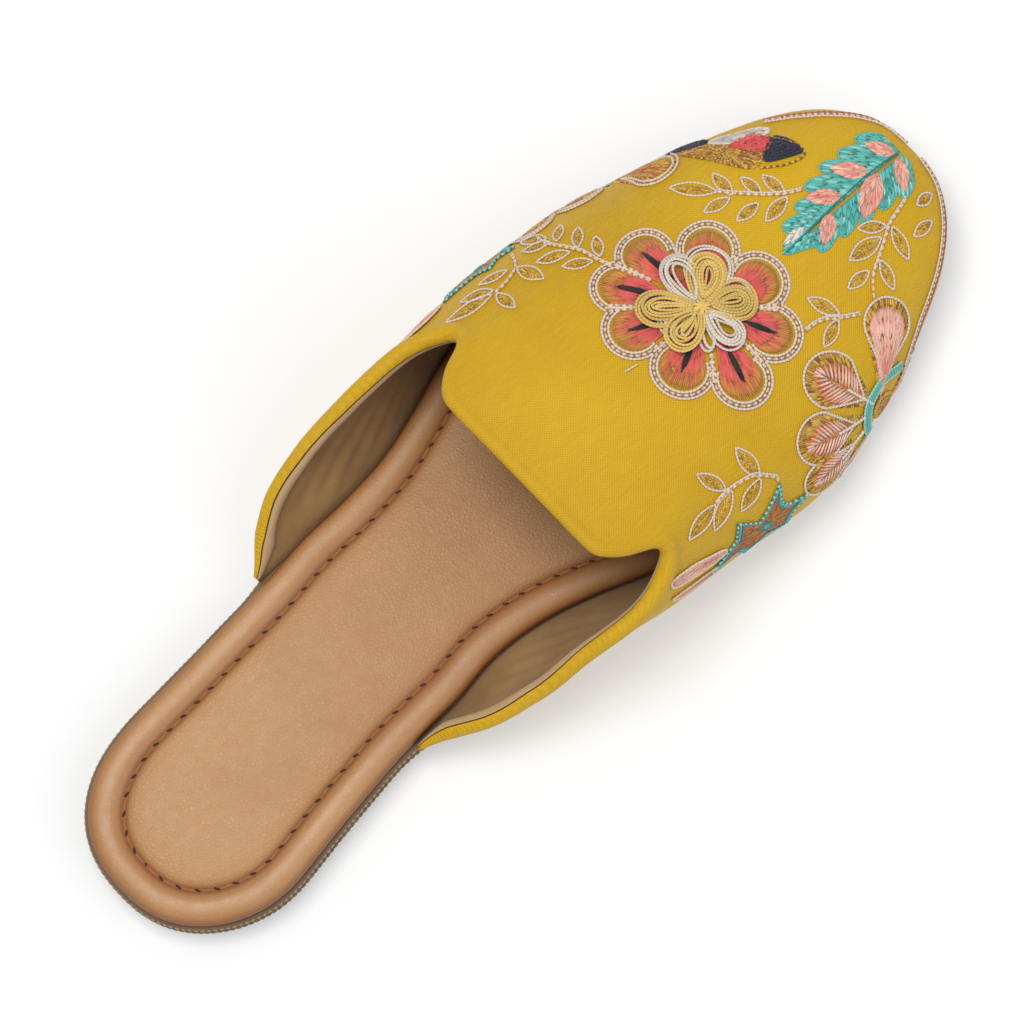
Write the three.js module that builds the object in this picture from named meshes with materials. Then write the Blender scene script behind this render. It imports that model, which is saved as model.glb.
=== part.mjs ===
// Left babouche slipper, a backless women's mule: outsole, padded footbed and one hollow upper.
// Millimetres, +Z up, toe along +X, outer side of the foot along +Y.
// It is drawn from the heel end at x = 0 with the floor at z = 0, and its last lines move the
// origin below the middle of the whole.

import * as THREE from 'three';

// Overall sizes
const shoeLength = 252;
const ballWidth = 93;
const heelWidth = 57.5;
const instepHeight = 62;

// Outsole
const heelThickness = 11;
const forefootThickness = 6.2;
const toeSpring = 6.5;
const archLift = 2.4;
const heelLedge = 1.1;
const upperOverhang = 0.5;

// Footbed
const footbedThickness = 4.2;
const borderWidth = 8;

// Upper. Below the level height its two faces stand apart level, so that both end on the sole.
// A column shorter than the short one has a thinner roll.
const wallThickness = 2.4;
const rollThickness = 4.4;
const levelHeight = 1.5 * footbedThickness;
const shortColumn = 2 * rollThickness;

// Gap between pieces that meet
const clearance = 0.3;

// Outlines from heel to toe. along is a share of the shoe's length. The footbed's edge and the
// upper's widest line are shares of the local width, each side on its own.
const outlines = [
  { along: 0, footLateral: 0.5, footMedial: 0.43, upLateral: 0.5, upMedial: 0.45 },
  { along: 0.11, footLateral: 0.49, footMedial: 0.448, upLateral: 0.5, upMedial: 0.46 },
  { along: 0.19, footLateral: 0.5, footMedial: 0.405, upLateral: 0.52, upMedial: 0.43 },
  { along: 0.278, footLateral: 0.512, footMedial: 0.362, upLateral: 0.56, upMedial: 0.4 },
  { along: 0.31, footLateral: 0.505, footMedial: 0.345, upLateral: 0.672, upMedial: 0.502 },
  { along: 0.341, footLateral: 0.492, footMedial: 0.325, upLateral: 0.7, upMedial: 0.545 },
  { along: 0.397, footLateral: 0.442, footMedial: 0.271, upLateral: 0.632, upMedial: 0.5 },
  { along: 0.452, footLateral: 0.41, footMedial: 0.262, upLateral: 0.542, upMedial: 0.446 },
  { along: 0.504, footLateral: 0.414, footMedial: 0.286, upLateral: 0.505, upMedial: 0.446 },
  { along: 0.548, footLateral: 0.432, footMedial: 0.322, upLateral: 0.5, upMedial: 0.448 },
  { along: 0.615, footLateral: 0.451, footMedial: 0.376, upLateral: 0.508, upMedial: 0.452 },
  { along: 0.67, footLateral: 0.449, footMedial: 0.417, upLateral: 0.5, upMedial: 0.472 },
  { along: 0.734, footLateral: 0.43, footMedial: 0.427, upLateral: 0.477, upMedial: 0.477 },
  { along: 0.806, footLateral: 0.379, footMedial: 0.386, upLateral: 0.42, upMedial: 0.431 },
  { along: 0.89, footLateral: 0.331, footMedial: 0.342, upLateral: 0.366, upMedial: 0.377 },
  { along: 1, footLateral: 0.32, footMedial: 0.328, upLateral: 0.353, upMedial: 0.361 },
];

// Sections of the upper. ridge is a share of the instep height. fullness is the exponent of the
// section's arch, from 2, an ellipse, to 5, nearly a box. tuck is the share of the section's
// height over which the wall leans in to the sole.
const arches = [
  { along: 0, ridge: 1.1, fullness: 5, tuck: 0.6 },
  { along: 0.278, ridge: 1.09, fullness: 5, tuck: 0.6 },
  { along: 0.452, ridge: 1.03, fullness: 5, tuck: 0.6 },
  { along: 0.504, ridge: 0.995, fullness: 4.6, tuck: 0.58 },
  { along: 0.548, ridge: 0.96, fullness: 3.5, tuck: 0.54 },
  { along: 0.615, ridge: 0.885, fullness: 2.75, tuck: 0.46 },
  { along: 0.67, ridge: 0.8, fullness: 2.5, tuck: 0.42 },
  { along: 0.734, ridge: 0.695, fullness: 2.4, tuck: 0.38 },
  { along: 0.806, ridge: 0.6, fullness: 2.3, tuck: 0.36 },
  { along: 0.89, ridge: 0.53, fullness: 2.35, tuck: 0.34 },
  { along: 1, ridge: 0.46, fullness: 2.4, tuck: 0.32 },
];

// Topline of one side, from the wing's rear end over the notch and the tongue's corner to the
// middle of the throat edge. wrap is the share of the way up the arch, from the sole's edge to
// the ridge. foot is the place on the guide line (0 wing end, 1 pole of the toe, 2 toe tip) where
// a column of the wall that ends here stands. lead is how far ahead the column runs before it
// turns down, as a share of the ball width, and turn is its heading there in degrees, negative
// towards the middle.
const topline = [
  { along: 0.29, wrap: 0.03, foot: 0, lead: 0, turn: 0 },
  { along: 0.375, wrap: 0.188, foot: 0.2, lead: 0, turn: 0 },
  { along: 0.468, wrap: 0.334, foot: 0.42, lead: 0.02, turn: 20 },
  { along: 0.516, wrap: 0.405, foot: 0.54, lead: 0.05, turn: 25 },
  { along: 0.547, wrap: 0.471, foot: 0.62, lead: 0.08, turn: 15 },
  { along: 0.561, wrap: 0.518, foot: 0.69, lead: 0.12, turn: -5 },
  { along: 0.557, wrap: 0.557, foot: 0.77, lead: 0.2, turn: -25 },
  { along: 0.533, wrap: 0.598, foot: 0.88, lead: 0.28, turn: -30 },
  { along: 0.5155, wrap: 0.65, foot: 1.05, lead: 0.38, turn: -20 },
  { along: 0.512, wrap: 0.715, foot: 1.25, lead: 0.46, turn: -8 },
  { along: 0.512, wrap: 0.87, foot: 1.7, lead: 0.55, turn: -2 },
  { along: 0.512, wrap: 1, foot: 2, lead: 0.6, turn: 0 },
].map((row, step) => ({ ...row, step }));

// Side of the outsole from the floor up. rise is a share of the local thickness and inset is
// in shares of the heel thickness, inwards from the sole's own outline.
const soleSide = [
  { rise: 0, inset: 0.2 },
  { rise: 0.05, inset: 0.08 },
  { rise: 0.12, inset: 0.04 },
  { rise: 0.3, inset: 0.035 },
  { rise: 0.325, inset: 0.1 },
  { rise: 0.36, inset: 0.05 },
  { rise: 0.46, inset: 0 },
  { rise: 0.56, inset: 0.045 },
  { rise: 0.595, inset: 0.08 },
  { rise: 0.63, inset: 0.045 },
  { rise: 0.72, inset: 0 },
  { rise: 0.81, inset: 0.05 },
  { rise: 0.845, inset: 0.11 },
  { rise: 0.875, inset: 0.02 },
  { rise: 0.96, inset: 0.015 },
  { rise: 1, inset: 0.06 },
];

// Edge and border of the footbed from its underside, round the rolled edge, to the flat middle.
// inset is a share of the border width, rise a share of the footbed's thickness.
const footbedEdge = [
  { inset: 0.16, rise: 0 },
  { inset: 0.05, rise: 0.16 },
  { inset: 0, rise: 0.46 },
  { inset: 0.05, rise: 0.76 },
  { inset: 0.2, rise: 0.96 },
  { inset: 0.5, rise: 1.07 },
  { inset: 0.85, rise: 0.98 },
  { inset: 1, rise: 0.8 },
  { inset: 1.15, rise: 0.95 },
  { inset: 1.6, rise: 1 },
];

// Places along the shoe, as shares of its length
const heelRoundEnd = 0.135;
const toePole = 0.813;
const wingEnd = topline[0].along;
const widthBlend = { from: 0.25, to: 0.6 };
const soleTaper = { from: 0.24, to: 0.62 };
const arch = { from: 0.29, to: 0.58 };
const springStart = 0.74;
const springPower = 1.8;
const ledgeBlend = 0.03;

// Shape of the round ends
const heelCentre = 0.013;
const toeCentre = -0.011;
const heelRoundness = 2.3;
const toeRoundness = 2.15;
const upperToeReach = 1.001;

// Fineness of the mesh
const stationsHeel = 9;
const stationsMiddle = 16;
const stationsToe = 10;
const columnsPerSide = 38;
const rollRows = [0, 0.09, 0.26, 0.5, 0.74, 0.93, 1.15];
const wallRows = 11;
const wallRowCrowding = 1.8;
const leadBlend = 0.12;
const toplineSamples = 400;
const columnSamples = 80;
const bearingHalvings = 30;
const normalNudge = wallThickness / 6;
const quarterTurn = Math.PI / 2;

// Smooth step from 0 at the value from to 1 at the value to
function smoothShare(value, from, to) {
  const share = Math.min(1, Math.max(0, (value - from) / (to - from)));
  return share * share * (3 - 2 * share);
}

// Value of a table's column between its rows, as a smooth cubic curve
function column(table, name, key, place) {
  const last = table.length - 1;
  if (place <= table[0][key]) return table[0][name];
  if (place >= table[last][key]) return table[last][name];
  const next = table.findIndex((row) => row[key] > place);
  const slope = (row) => (table[row + 1][name] - table[row][name]) / (table[row + 1][key] - table[row][key]);
  const tangent = (row) => {
    if (row === 0) return slope(0);
    if (row === last) return slope(last - 1);
    const spanBefore = table[row][key] - table[row - 1][key];
    const spanAfter = table[row + 1][key] - table[row][key];
    return (slope(row - 1) * spanAfter + slope(row) * spanBefore) / (spanBefore + spanAfter);
  };
  const span = table[next][key] - table[next - 1][key];
  const t = (place - table[next - 1][key]) / span;
  const bend = t * t * (3 - 2 * t);
  const leave = t * (1 - t) * (1 - t) * span * tangent(next - 1);
  const arrive = t * t * (t - 1) * span * tangent(next);
  return table[next - 1][name] * (1 - bend) + table[next][name] * bend + leave + arrive;
}

// Middle line of the shoe at x
function middleY(x) {
  return ballWidth * (heelCentre + (toeCentre - heelCentre) * smoothShare(x / shoeLength, 0, toePole));
}

// Width that the outlines' shares refer to
function widthAt(along) {
  return heelWidth + (ballWidth - heelWidth) * smoothShare(along, widthBlend.from, widthBlend.to);
}

// Height of the outsole's top and underside
function springAt(x) {
  const share = Math.max(0, (x / shoeLength - springStart) / (1 - springStart));
  return toeSpring * share ** springPower;
}

function soleTopAt(x) {
  const share = smoothShare(x / shoeLength, soleTaper.from, soleTaper.to);
  return springAt(x) + heelThickness + (forefootThickness - heelThickness) * share;
}

function soleBottomAt(x) {
  const share = (x / shoeLength - arch.from) / (arch.to - arch.from);
  const lift = share > 0 && share < 1 ? archLift * Math.sin(Math.PI * share) ** 2 : 0;
  return springAt(x) + lift;
}

// Point of an outline. A station runs from 0 at the heel end, over 1 where the round heel stops and
// 2 where the round toe starts, to 3 at the toe. spread moves the outline outwards.
function outlinePoint(station, side, name, heelEnd, toeEnd, spread) {
  const heelX = heelRoundEnd * shoeLength;
  const poleX = toePole * shoeLength;
  let x = heelX + (poleX - heelX) * (station - 1);
  let round = 1;
  if (station < 1) {
    const angle = quarterTurn * (1 - station);
    x = heelX - (heelX - heelEnd + spread) * Math.sin(angle) ** (2 / heelRoundness);
    round = Math.max(0, Math.cos(angle)) ** (2 / heelRoundness);
  }
  if (station > 2) {
    const angle = quarterTurn * (station - 2);
    x = poleX + (toeEnd + spread - poleX) * Math.sin(angle) ** (2 / toeRoundness);
    round = Math.max(0, Math.cos(angle)) ** (2 / toeRoundness);
  }
  if (station <= 0 || station >= 3) round = 0;
  const along = x / shoeLength;
  const suffix = side > 0 ? 'Lateral' : 'Medial';
  const edge = side * (column(outlines, name + suffix, 'along', along) * widthAt(along) + spread);
  const middle = middleY(x);
  return new THREE.Vector2(x, middle + (edge - middle) * round);
}

// The footbed's outline, which the sole and the upper's lower edge follow
const upperToeX = upperToeReach * shoeLength;
const featherGap = clearance + wallThickness / 2;
const toeFlare = 0.02 * ballWidth;
const footbedToeX = shoeLength - wallThickness - clearance - toeFlare;

function footbedOutline(station, side, spread) {
  return outlinePoint(station, side, 'foot', heelLedge, footbedToeX, spread);
}

function outsoleOutline(station, side, inset) {
  const along = footbedOutline(station, side, 0).x / shoeLength;
  const frontLedge = clearance + wallThickness - upperOverhang;
  const share = smoothShare(along, wingEnd - ledgeBlend, wingEnd + ledgeBlend);
  const ledge = heelLedge + (frontLedge - heelLedge) * share;
  return footbedOutline(station, side, ledge - inset);
}

// Stations round the sole, closer together at heel and toe
function soleStations() {
  const stations = [];
  for (let step = 0; step < stationsHeel; step += 1) stations.push(step / stationsHeel);
  for (let step = 0; step < stationsMiddle; step += 1) stations.push(1 + step / stationsMiddle);
  for (let step = 0; step <= stationsToe; step += 1) stations.push(2 + step / stationsToe);
  return stations;
}

// Closed solid between loops stacked from its underside to its top. Each loop lists the points of
// the lateral side from heel to toe, then those of the medial side back to the heel.
function loopSolid(loops, perSide) {
  const size = loops[0].length;
  const positions = loops.flat().flatMap((point) => [point.x, point.y, point.z]);
  const triangles = [];
  for (let level = 0; level + 1 < loops.length; level += 1) {
    for (let step = 0; step < size; step += 1) {
      const next = (step + 1) % size;
      const low = level * size;
      const high = low + size;
      triangles.push(low + step, high + step, low + next);
      triangles.push(low + next, high + step, high + next);
    }
  }
  const top = (loops.length - 1) * size;
  for (let step = 0; step + 1 < perSide; step += 1) {
    const across = (size - step) % size;
    const acrossNext = size - step - 1;
    if (step === 0) {
      triangles.push(0, 1, acrossNext);
      triangles.push(top, top + acrossNext, top + 1);
    } else if (step + 2 === perSide) {
      triangles.push(across, step, step + 1);
      triangles.push(top + across, top + step + 1, top + step);
    } else {
      triangles.push(across, step, step + 1, across, step + 1, acrossNext);
      triangles.push(top + across, top + step + 1, top + step);
      triangles.push(top + across, top + acrossNext, top + step + 1);
    }
  }
  return meshGeometry(positions, triangles);
}

function meshGeometry(positions, triangles) {
  const geometry = new THREE.BufferGeometry();
  geometry.setAttribute('position', new THREE.Float32BufferAttribute(positions, 3));
  geometry.setIndex(triangles);
  geometry.computeVertexNormals();
  return geometry;
}

// One loop round the shoe: the lateral side forwards, then the medial side back
function ringLoop(stations, outline, heightAt) {
  const loop = stations.map((station) => {
    const point = outline(station, 1);
    return new THREE.Vector3(point.x, point.y, heightAt(point.x));
  });
  for (let index = stations.length - 2; index > 0; index -= 1) {
    const point = outline(stations[index], -1);
    loop.push(new THREE.Vector3(point.x, point.y, heightAt(point.x)));
  }
  return loop;
}

function buildOutsole() {
  const stations = soleStations();
  const loops = soleSide.map((row) => ringLoop(
    stations,
    (station, side) => outsoleOutline(station, side, row.inset * heelThickness),
    (x) => soleBottomAt(x) + row.rise * (soleTopAt(x) - soleBottomAt(x)),
  ));
  return loopSolid(loops, stations.length);
}

function buildFootbed() {
  const stations = soleStations();
  const loops = footbedEdge.map((row) => ringLoop(
    stations,
    (station, side) => footbedOutline(station, side, -row.inset * borderWidth),
    (x) => soleTopAt(x) + clearance + row.rise * footbedThickness,
  ));
  return loopSolid(loops, stations.length);
}

// Station on the outline for a place of the upper: x up to the toe's pole, then the bearing seen
// from the pole, found by halving
function upperStation(x, y, side) {
  const heelX = heelRoundEnd * shoeLength;
  const poleX = toePole * shoeLength;
  if (x <= poleX) return 1 + (x - heelX) / (poleX - heelX);
  const bearing = Math.atan2(Math.abs(y - middleY(poleX)), x - poleX);
  let low = 2;
  let high = 3;
  for (let halving = 0; halving < bearingHalvings; halving += 1) {
    const station = (low + high) / 2;
    const rim = widestOutline(station, side);
    if (Math.atan2(Math.abs(rim.y - middleY(poleX)), rim.x - poleX) > bearing) low = station;
    else high = station;
  }
  return (low + high) / 2;
}

function widestOutline(station, side) {
  return outlinePoint(station, side, 'up', 0, upperToeX, 0);
}

// Middle of the upper's wall, from a flat pattern of the upper: in the pattern the outline keeps
// its place and the distance to the ridge is the arch's angle, so that walls lie unrolled
function wallPoint(pattern, side) {
  const poleX = toePole * shoeLength;
  const station = upperStation(pattern.x, pattern.y, side);
  const rim = widestOutline(station, side);
  const feather = footbedOutline(station, side, featherGap);
  const foot = new THREE.Vector2(Math.min(pattern.x, poleX), 0);
  foot.y = middleY(foot.x);
  const share = pattern.clone().sub(foot).length() / rim.clone().sub(foot).length();
  const angle = quarterTurn * (1 - share);
  const along = pattern.x / shoeLength;
  const power = column(arches, 'fullness', 'along', along);
  const cosine = Math.abs(Math.cos(angle));
  const sine = Math.sin(angle);
  const radius = (cosine ** power + Math.abs(sine) ** power) ** (-1 / power);
  const rise = radius * sine;
  const tuckHeight = column(arches, 'tuck', 'along', along);
  const lean = Math.max(0, 1 - rise / tuckHeight) ** 2;
  const plan = foot.clone().add(rim.clone().sub(foot).multiplyScalar(radius * cosine));
  plan.sub(rim.clone().sub(feather).multiplyScalar(lean));
  const low = soleTopAt(feather.x) + clearance;
  const ridge = instepHeight * column(arches, 'ridge', 'along', plan.x / shoeLength);
  return new THREE.Vector3(plan.x, plan.y, low + (ridge - low) * rise);
}

// Outward direction of the wall, from points close by on either side of the middle line, turned
// level close to the sole
function wallNormal(pattern) {
  const pointBy = (stepX, stepY) => {
    const place = new THREE.Vector2(pattern.x + stepX, pattern.y + stepY);
    return wallPoint(place, place.y < middleY(Math.min(place.x, toePole * shoeLength)) ? -1 : 1);
  };
  const forwards = pointBy(normalNudge, 0).sub(pointBy(-normalNudge, 0));
  const sideways = pointBy(0, normalNudge).sub(pointBy(0, -normalNudge));
  const normal = forwards.cross(sideways);
  const point = pointBy(0, 0);
  const height = point.z - soleTopAt(point.x) - clearance;
  normal.normalize();
  normal.z *= smoothShare(height, 0, levelHeight);
  return normal.normalize();
}

// Point of the topline in the pattern, at a step between the table's rows
function toplinePoint(step, side) {
  const x = column(topline, 'along', 'step', step) * shoeLength;
  const rim = widestOutline(upperStation(x, 0, side), side);
  const share = 1 - column(topline, 'wrap', 'step', step);
  return new THREE.Vector2(x, middleY(x) + (rim.y - middleY(x)) * share);
}

// Steps at which the columns meet the topline: half by its length, half by the table's rows, so
// that the notch and the corner keep enough columns
function toplineSteps(side) {
  const last = topline.length - 1;
  const run = [0];
  let before = toplinePoint(0, side);
  for (let index = 1; index <= toplineSamples; index += 1) {
    const here = toplinePoint((last * index) / toplineSamples, side);
    run.push(run[index - 1] + here.distanceTo(before));
    before = here;
  }
  const steps = [];
  for (let index = 0; index <= columnsPerSide; index += 1) {
    const share = index / columnsPerSide;
    const found = run.findIndex((length) => length >= share * run[toplineSamples]);
    steps.push((last * (share + found / toplineSamples)) / 2);
  }
  return steps;
}

// Columns of one side: from the topline down to the sole's edge, as curves in the pattern
function patternColumns(side) {
  const wingStation = upperStation(wingEnd * shoeLength, 0, side);
  return toplineSteps(side).map((step) => {
    const start = toplinePoint(step, side);
    const foot = column(topline, 'foot', 'step', step);
    const station = foot < 1 ? wingStation + (2 - wingStation) * foot : 1 + foot;
    const bottom = widestOutline(station, side);
    const lead = column(topline, 'lead', 'step', step) * ballWidth;
    const turn = THREE.MathUtils.degToRad(column(topline, 'turn', 'step', step));
    const heading = new THREE.Vector2(Math.cos(turn), side * Math.sin(turn));
    const ahead = start.clone().addScaledVector(heading, lead);
    const control = start.clone().lerp(bottom, 0.5);
    control.lerp(ahead, smoothShare(lead, 0, leadBlend * ballWidth));
    return new THREE.QuadraticBezierCurve(start, control, bottom);
  });
}

// Half of the wall at a distance from the topline: a round roll that runs into the plain wall
function halfWall(distance, scale) {
  const roll = (scale * rollThickness) / 2;
  const wall = (scale * wallThickness) / 2;
  const round = Math.sqrt(Math.max(0, roll * roll - (distance - roll) ** 2));
  return distance < roll ? round : Math.max(round, wall);
}

// Ring of the upper's wall on one column: up the inner face, over the roll and down the outer face
function wallRing(curve, side) {
  const run = [0];
  let before = wallPoint(curve.getPoint(0), side);
  for (let index = 1; index <= columnSamples; index += 1) {
    const here = wallPoint(curve.getPoint(index / columnSamples), side);
    run.push(run[index - 1] + here.distanceTo(before));
    before = here;
  }
  const length = run[columnSamples];
  const scale = Math.min(1, length / shortColumn);
  const rollEnd = scale * rollThickness * rollRows[rollRows.length - 1];
  const distances = rollRows.map((share) => share * scale * rollThickness);
  for (let row = 1; row <= wallRows; row += 1) {
    const share = 1 - (1 - row / wallRows) ** wallRowCrowding;
    distances.push(rollEnd + (length - rollEnd) * share);
  }
  const inner = [];
  const outer = [];
  distances.forEach((distance) => {
    const beyond = distance >= length ? columnSamples : run.findIndex((value) => value > distance);
    const t = Math.min(1, (distance - run[beyond - 1]) / (run[beyond] - run[beyond - 1]));
    const pattern = curve.getPoint((beyond - 1 + t) / columnSamples);
    const point = wallPoint(pattern, side);
    const offset = wallNormal(pattern).multiplyScalar(halfWall(distance, scale));
    const faces = [point.clone().sub(offset), point.clone().add(offset)];
    if (distance >= length) faces.forEach((face) => face.setZ(soleTopAt(face.x) + clearance));
    inner.push(faces[0]);
    outer.push(faces[1]);
  });
  return [...inner.reverse(), ...outer.slice(1)];
}

// The upper is a closed section carried from the lateral wing's end, round the toe, to the medial
function buildUpper() {
  const lateral = patternColumns(1).map((curve) => wallRing(curve, 1));
  const medial = patternColumns(-1).slice(0, -1).map((curve) => wallRing(curve, -1));
  const rings = [...lateral, ...medial.reverse()];
  const size = rings[0].length;
  const positions = rings.flat().flatMap((point) => [point.x, point.y, point.z]);
  const triangles = [];
  for (let ring = 0; ring + 1 < rings.length; ring += 1) {
    for (let step = 0; step < size; step += 1) {
      const here = ring * size;
      const there = here + size;
      const next = (step + 1) % size;
      triangles.push(here + step, there + step, here + next);
      triangles.push(here + next, there + step, there + next);
    }
  }
  const end = (rings.length - 1) * size;
  for (let step = 0; 2 * step + 1 < size; step += 1) {
    const across = size - 1 - step;
    triangles.push(step, step + 1, across);
    triangles.push(end + step, end + across, end + step + 1);
    if (across - 1 > step + 1) {
      triangles.push(step + 1, across - 1, across);
      triangles.push(end + step + 1, end + across, end + across - 1);
    }
  }
  return meshGeometry(positions, triangles);
}

// Materials
const soleMaterial = new THREE.MeshStandardMaterial({ color: 0x6e5c48, roughness: 0.8, metalness: 0 });
const footbedMaterial = new THREE.MeshStandardMaterial({ color: 0xbe9164, roughness: 0.55, metalness: 0 });
const upperMaterial = new THREE.MeshStandardMaterial({ color: 0xcdaa23, roughness: 0.6, metalness: 0 });

function namedMesh(name, geometry, material) {
  const mesh = new THREE.Mesh(geometry, material);
  mesh.name = name;
  return mesh;
}

const group = new THREE.Group();
group.add(namedMesh('outsole', buildOutsole(), soleMaterial));
group.add(namedMesh('footbed', buildFootbed(), footbedMaterial));
group.add(namedMesh('upper', buildUpper(), upperMaterial));

// Origin below the middle of the whole
const extent = new THREE.Box3().setFromObject(group);
const middle = extent.getCenter(new THREE.Vector3());
group.position.set(-middle.x, -middle.y, -extent.min.z);
group.updateMatrixWorld(true);

export default group;
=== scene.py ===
import math
import bmesh
import bpy
import numpy as np
from mathutils import Matrix, Vector


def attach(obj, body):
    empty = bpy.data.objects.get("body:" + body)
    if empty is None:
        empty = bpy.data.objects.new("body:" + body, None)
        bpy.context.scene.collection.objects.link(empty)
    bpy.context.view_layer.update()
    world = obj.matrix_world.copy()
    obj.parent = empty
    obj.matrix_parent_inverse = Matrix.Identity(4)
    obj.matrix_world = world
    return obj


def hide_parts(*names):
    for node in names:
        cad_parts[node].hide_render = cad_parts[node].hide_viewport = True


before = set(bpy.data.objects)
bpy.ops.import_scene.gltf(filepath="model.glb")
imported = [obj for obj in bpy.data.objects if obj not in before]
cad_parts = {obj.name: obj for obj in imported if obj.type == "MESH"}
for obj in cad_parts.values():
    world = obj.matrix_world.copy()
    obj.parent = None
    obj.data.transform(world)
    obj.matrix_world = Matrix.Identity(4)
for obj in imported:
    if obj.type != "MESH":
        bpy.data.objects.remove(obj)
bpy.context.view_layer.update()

# Left backless slipper. Shapes are worked out in millimetres, from the heel end at x = 0 with the
# outer side of the foot along +y, and moved to the frame's place as they become meshes.

shoe = {
    'drawnFrom': (-126.005, -1.375),    # place of the heel end and middle line in the frame
    'length': 252.0,
    'ballWidth': 93.0,
    'heelWidth': 57.5,
    'instepHeight': 62.0,
    'heelThickness': 11.0,
    'forefootThickness': 6.2,
    'toeSpring': 6.5,
    'archLift': 2.4,
    'heelLedge': 1.1,
    'upperOverhang': 0.5,
    'footbedThickness': 4.2,
    'borderWidth': 8.0,
    'wall': 2.4,
    'roll': 4.4,
    'clearance': 0.3,
    'heelRoundEnd': 0.135,            # shares of the length from here down
    'toePole': 0.813,
    'wingEnd': 0.29,
    'ledgeBlend': 0.03,
    'widthBlend': (0.25, 0.6),
    'soleTaper': (0.24, 0.62),
    'arch': (0.29, 0.58),
    'springStart': 0.74,
    'springPower': 1.8,
    'heelCentre': 0.013,
    'toeCentre': -0.011,
    'heelRoundness': 2.3,
    'toeRoundness': 2.15,
    'upperToeReach': 1.001,
    'toeFlare': 0.02,
}

# Outlines: along, footbed lateral and medial, upper lateral and medial, as shares of the width
outlines = np.array([
    (0, 0.5, 0.43, 0.5, 0.45),
    (0.11, 0.49, 0.448, 0.5, 0.46),
    (0.19, 0.5, 0.405, 0.52, 0.43),
    (0.278, 0.512, 0.362, 0.56, 0.4),
    (0.31, 0.505, 0.345, 0.672, 0.502),
    (0.341, 0.492, 0.325, 0.7, 0.545),
    (0.397, 0.442, 0.271, 0.632, 0.5),
    (0.452, 0.41, 0.262, 0.542, 0.446),
    (0.504, 0.414, 0.286, 0.505, 0.446),
    (0.548, 0.432, 0.322, 0.5, 0.448),
    (0.615, 0.451, 0.376, 0.508, 0.452),
    (0.67, 0.449, 0.417, 0.5, 0.472),
    (0.734, 0.43, 0.427, 0.477, 0.477),
    (0.806, 0.379, 0.386, 0.42, 0.431),
    (0.89, 0.331, 0.342, 0.366, 0.377),
    (1, 0.32, 0.328, 0.353, 0.361),
])

# Sections of the upper: along, ridge as a share of the instep height, fullness, tuck
arches = np.array([
    (0, 1.1, 5, 0.6),
    (0.278, 1.09, 5, 0.6),
    (0.452, 1.03, 5, 0.6),
    (0.504, 0.995, 4.6, 0.58),
    (0.548, 0.96, 3.5, 0.54),
    (0.615, 0.885, 2.75, 0.46),
    (0.67, 0.8, 2.5, 0.42),
    (0.734, 0.695, 2.4, 0.38),
    (0.806, 0.6, 2.3, 0.36),
    (0.89, 0.53, 2.35, 0.34),
    (1, 0.46, 2.4, 0.32),
])

# Topline of one side: step, along, wrap, foot, lead, turn
topline = np.array([
    (0, 0.29, 0.03, 0, 0, 0),
    (1, 0.375, 0.188, 0.2, 0, 0),
    (2, 0.468, 0.334, 0.42, 0.02, 20),
    (3, 0.516, 0.405, 0.54, 0.05, 25),
    (4, 0.547, 0.471, 0.62, 0.08, 15),
    (5, 0.561, 0.518, 0.69, 0.12, -5),
    (6, 0.557, 0.557, 0.77, 0.2, -25),
    (7, 0.533, 0.598, 0.88, 0.28, -30),
    (8, 0.5155, 0.65, 1.05, 0.38, -20),
    (9, 0.512, 0.715, 1.25, 0.46, -8),
    (10, 0.512, 0.87, 1.7, 0.55, -2),
    (11, 0.512, 1, 2, 0.6, 0),
])

length = shoe['length']
heelX = shoe['heelRoundEnd'] * length
poleX = shoe['toePole'] * length
featherGap = shoe['clearance'] + shoe['wall'] / 2
footbedToeX = length - shoe['wall'] - shoe['clearance'] - shoe['toeFlare'] * shoe['ballWidth']


def smoothShare(value, start, end):    # smooth step from 0 at start to 1 at end
    share = np.clip((value - start) / (end - start), 0, 1)
    return share * share * (3 - 2 * share)


def column(table, index, place):    # smooth cubic through a table's column, keyed by its first one
    keys, values = table[:, 0], table[:, index]
    spans = np.diff(keys)
    slopes = np.diff(values) / spans
    between = (slopes[:-1] * spans[1:] + slopes[1:] * spans[:-1]) / (spans[1:] + spans[:-1])
    tangents = np.concatenate([slopes[:1], between, slopes[-1:]])
    place = np.clip(place, keys[0], keys[-1])
    row = np.clip(np.searchsorted(keys, place, side='right') - 1, 0, len(keys) - 2)
    t = (place - keys[row]) / spans[row]
    bend = t * t * (3 - 2 * t)
    leave = t * (1 - t) ** 2 * spans[row] * tangents[row]
    arrive = t * t * (t - 1) * spans[row] * tangents[row + 1]
    return values[row] * (1 - bend) + values[row + 1] * bend + leave + arrive


def middleY(x):    # middle line, from the heel's centre to the toe's by a smooth step
    shift = shoe['toeCentre'] - shoe['heelCentre']
    return shoe['ballWidth'] * (shoe['heelCentre'] + shift * smoothShare(x / length, 0, shoe['toePole']))


def widthAt(along):    # from the heel's width to the ball's by a smooth step
    share = smoothShare(along, *shoe['widthBlend'])
    return shoe['heelWidth'] + (shoe['ballWidth'] - shoe['heelWidth']) * share


def springAt(x):    # lift of the toe, a power of the share of the way along it
    share = np.clip((x / length - shoe['springStart']) / (1 - shoe['springStart']), 0, None)
    return shoe['toeSpring'] * share ** shoe['springPower']


def soleTopAt(x):    # the spring plus a thickness that tapers by a smooth step
    taper = smoothShare(x / length, *shoe['soleTaper'])
    return springAt(x) + shoe['heelThickness'] + (shoe['forefootThickness'] - shoe['heelThickness']) * taper


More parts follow.
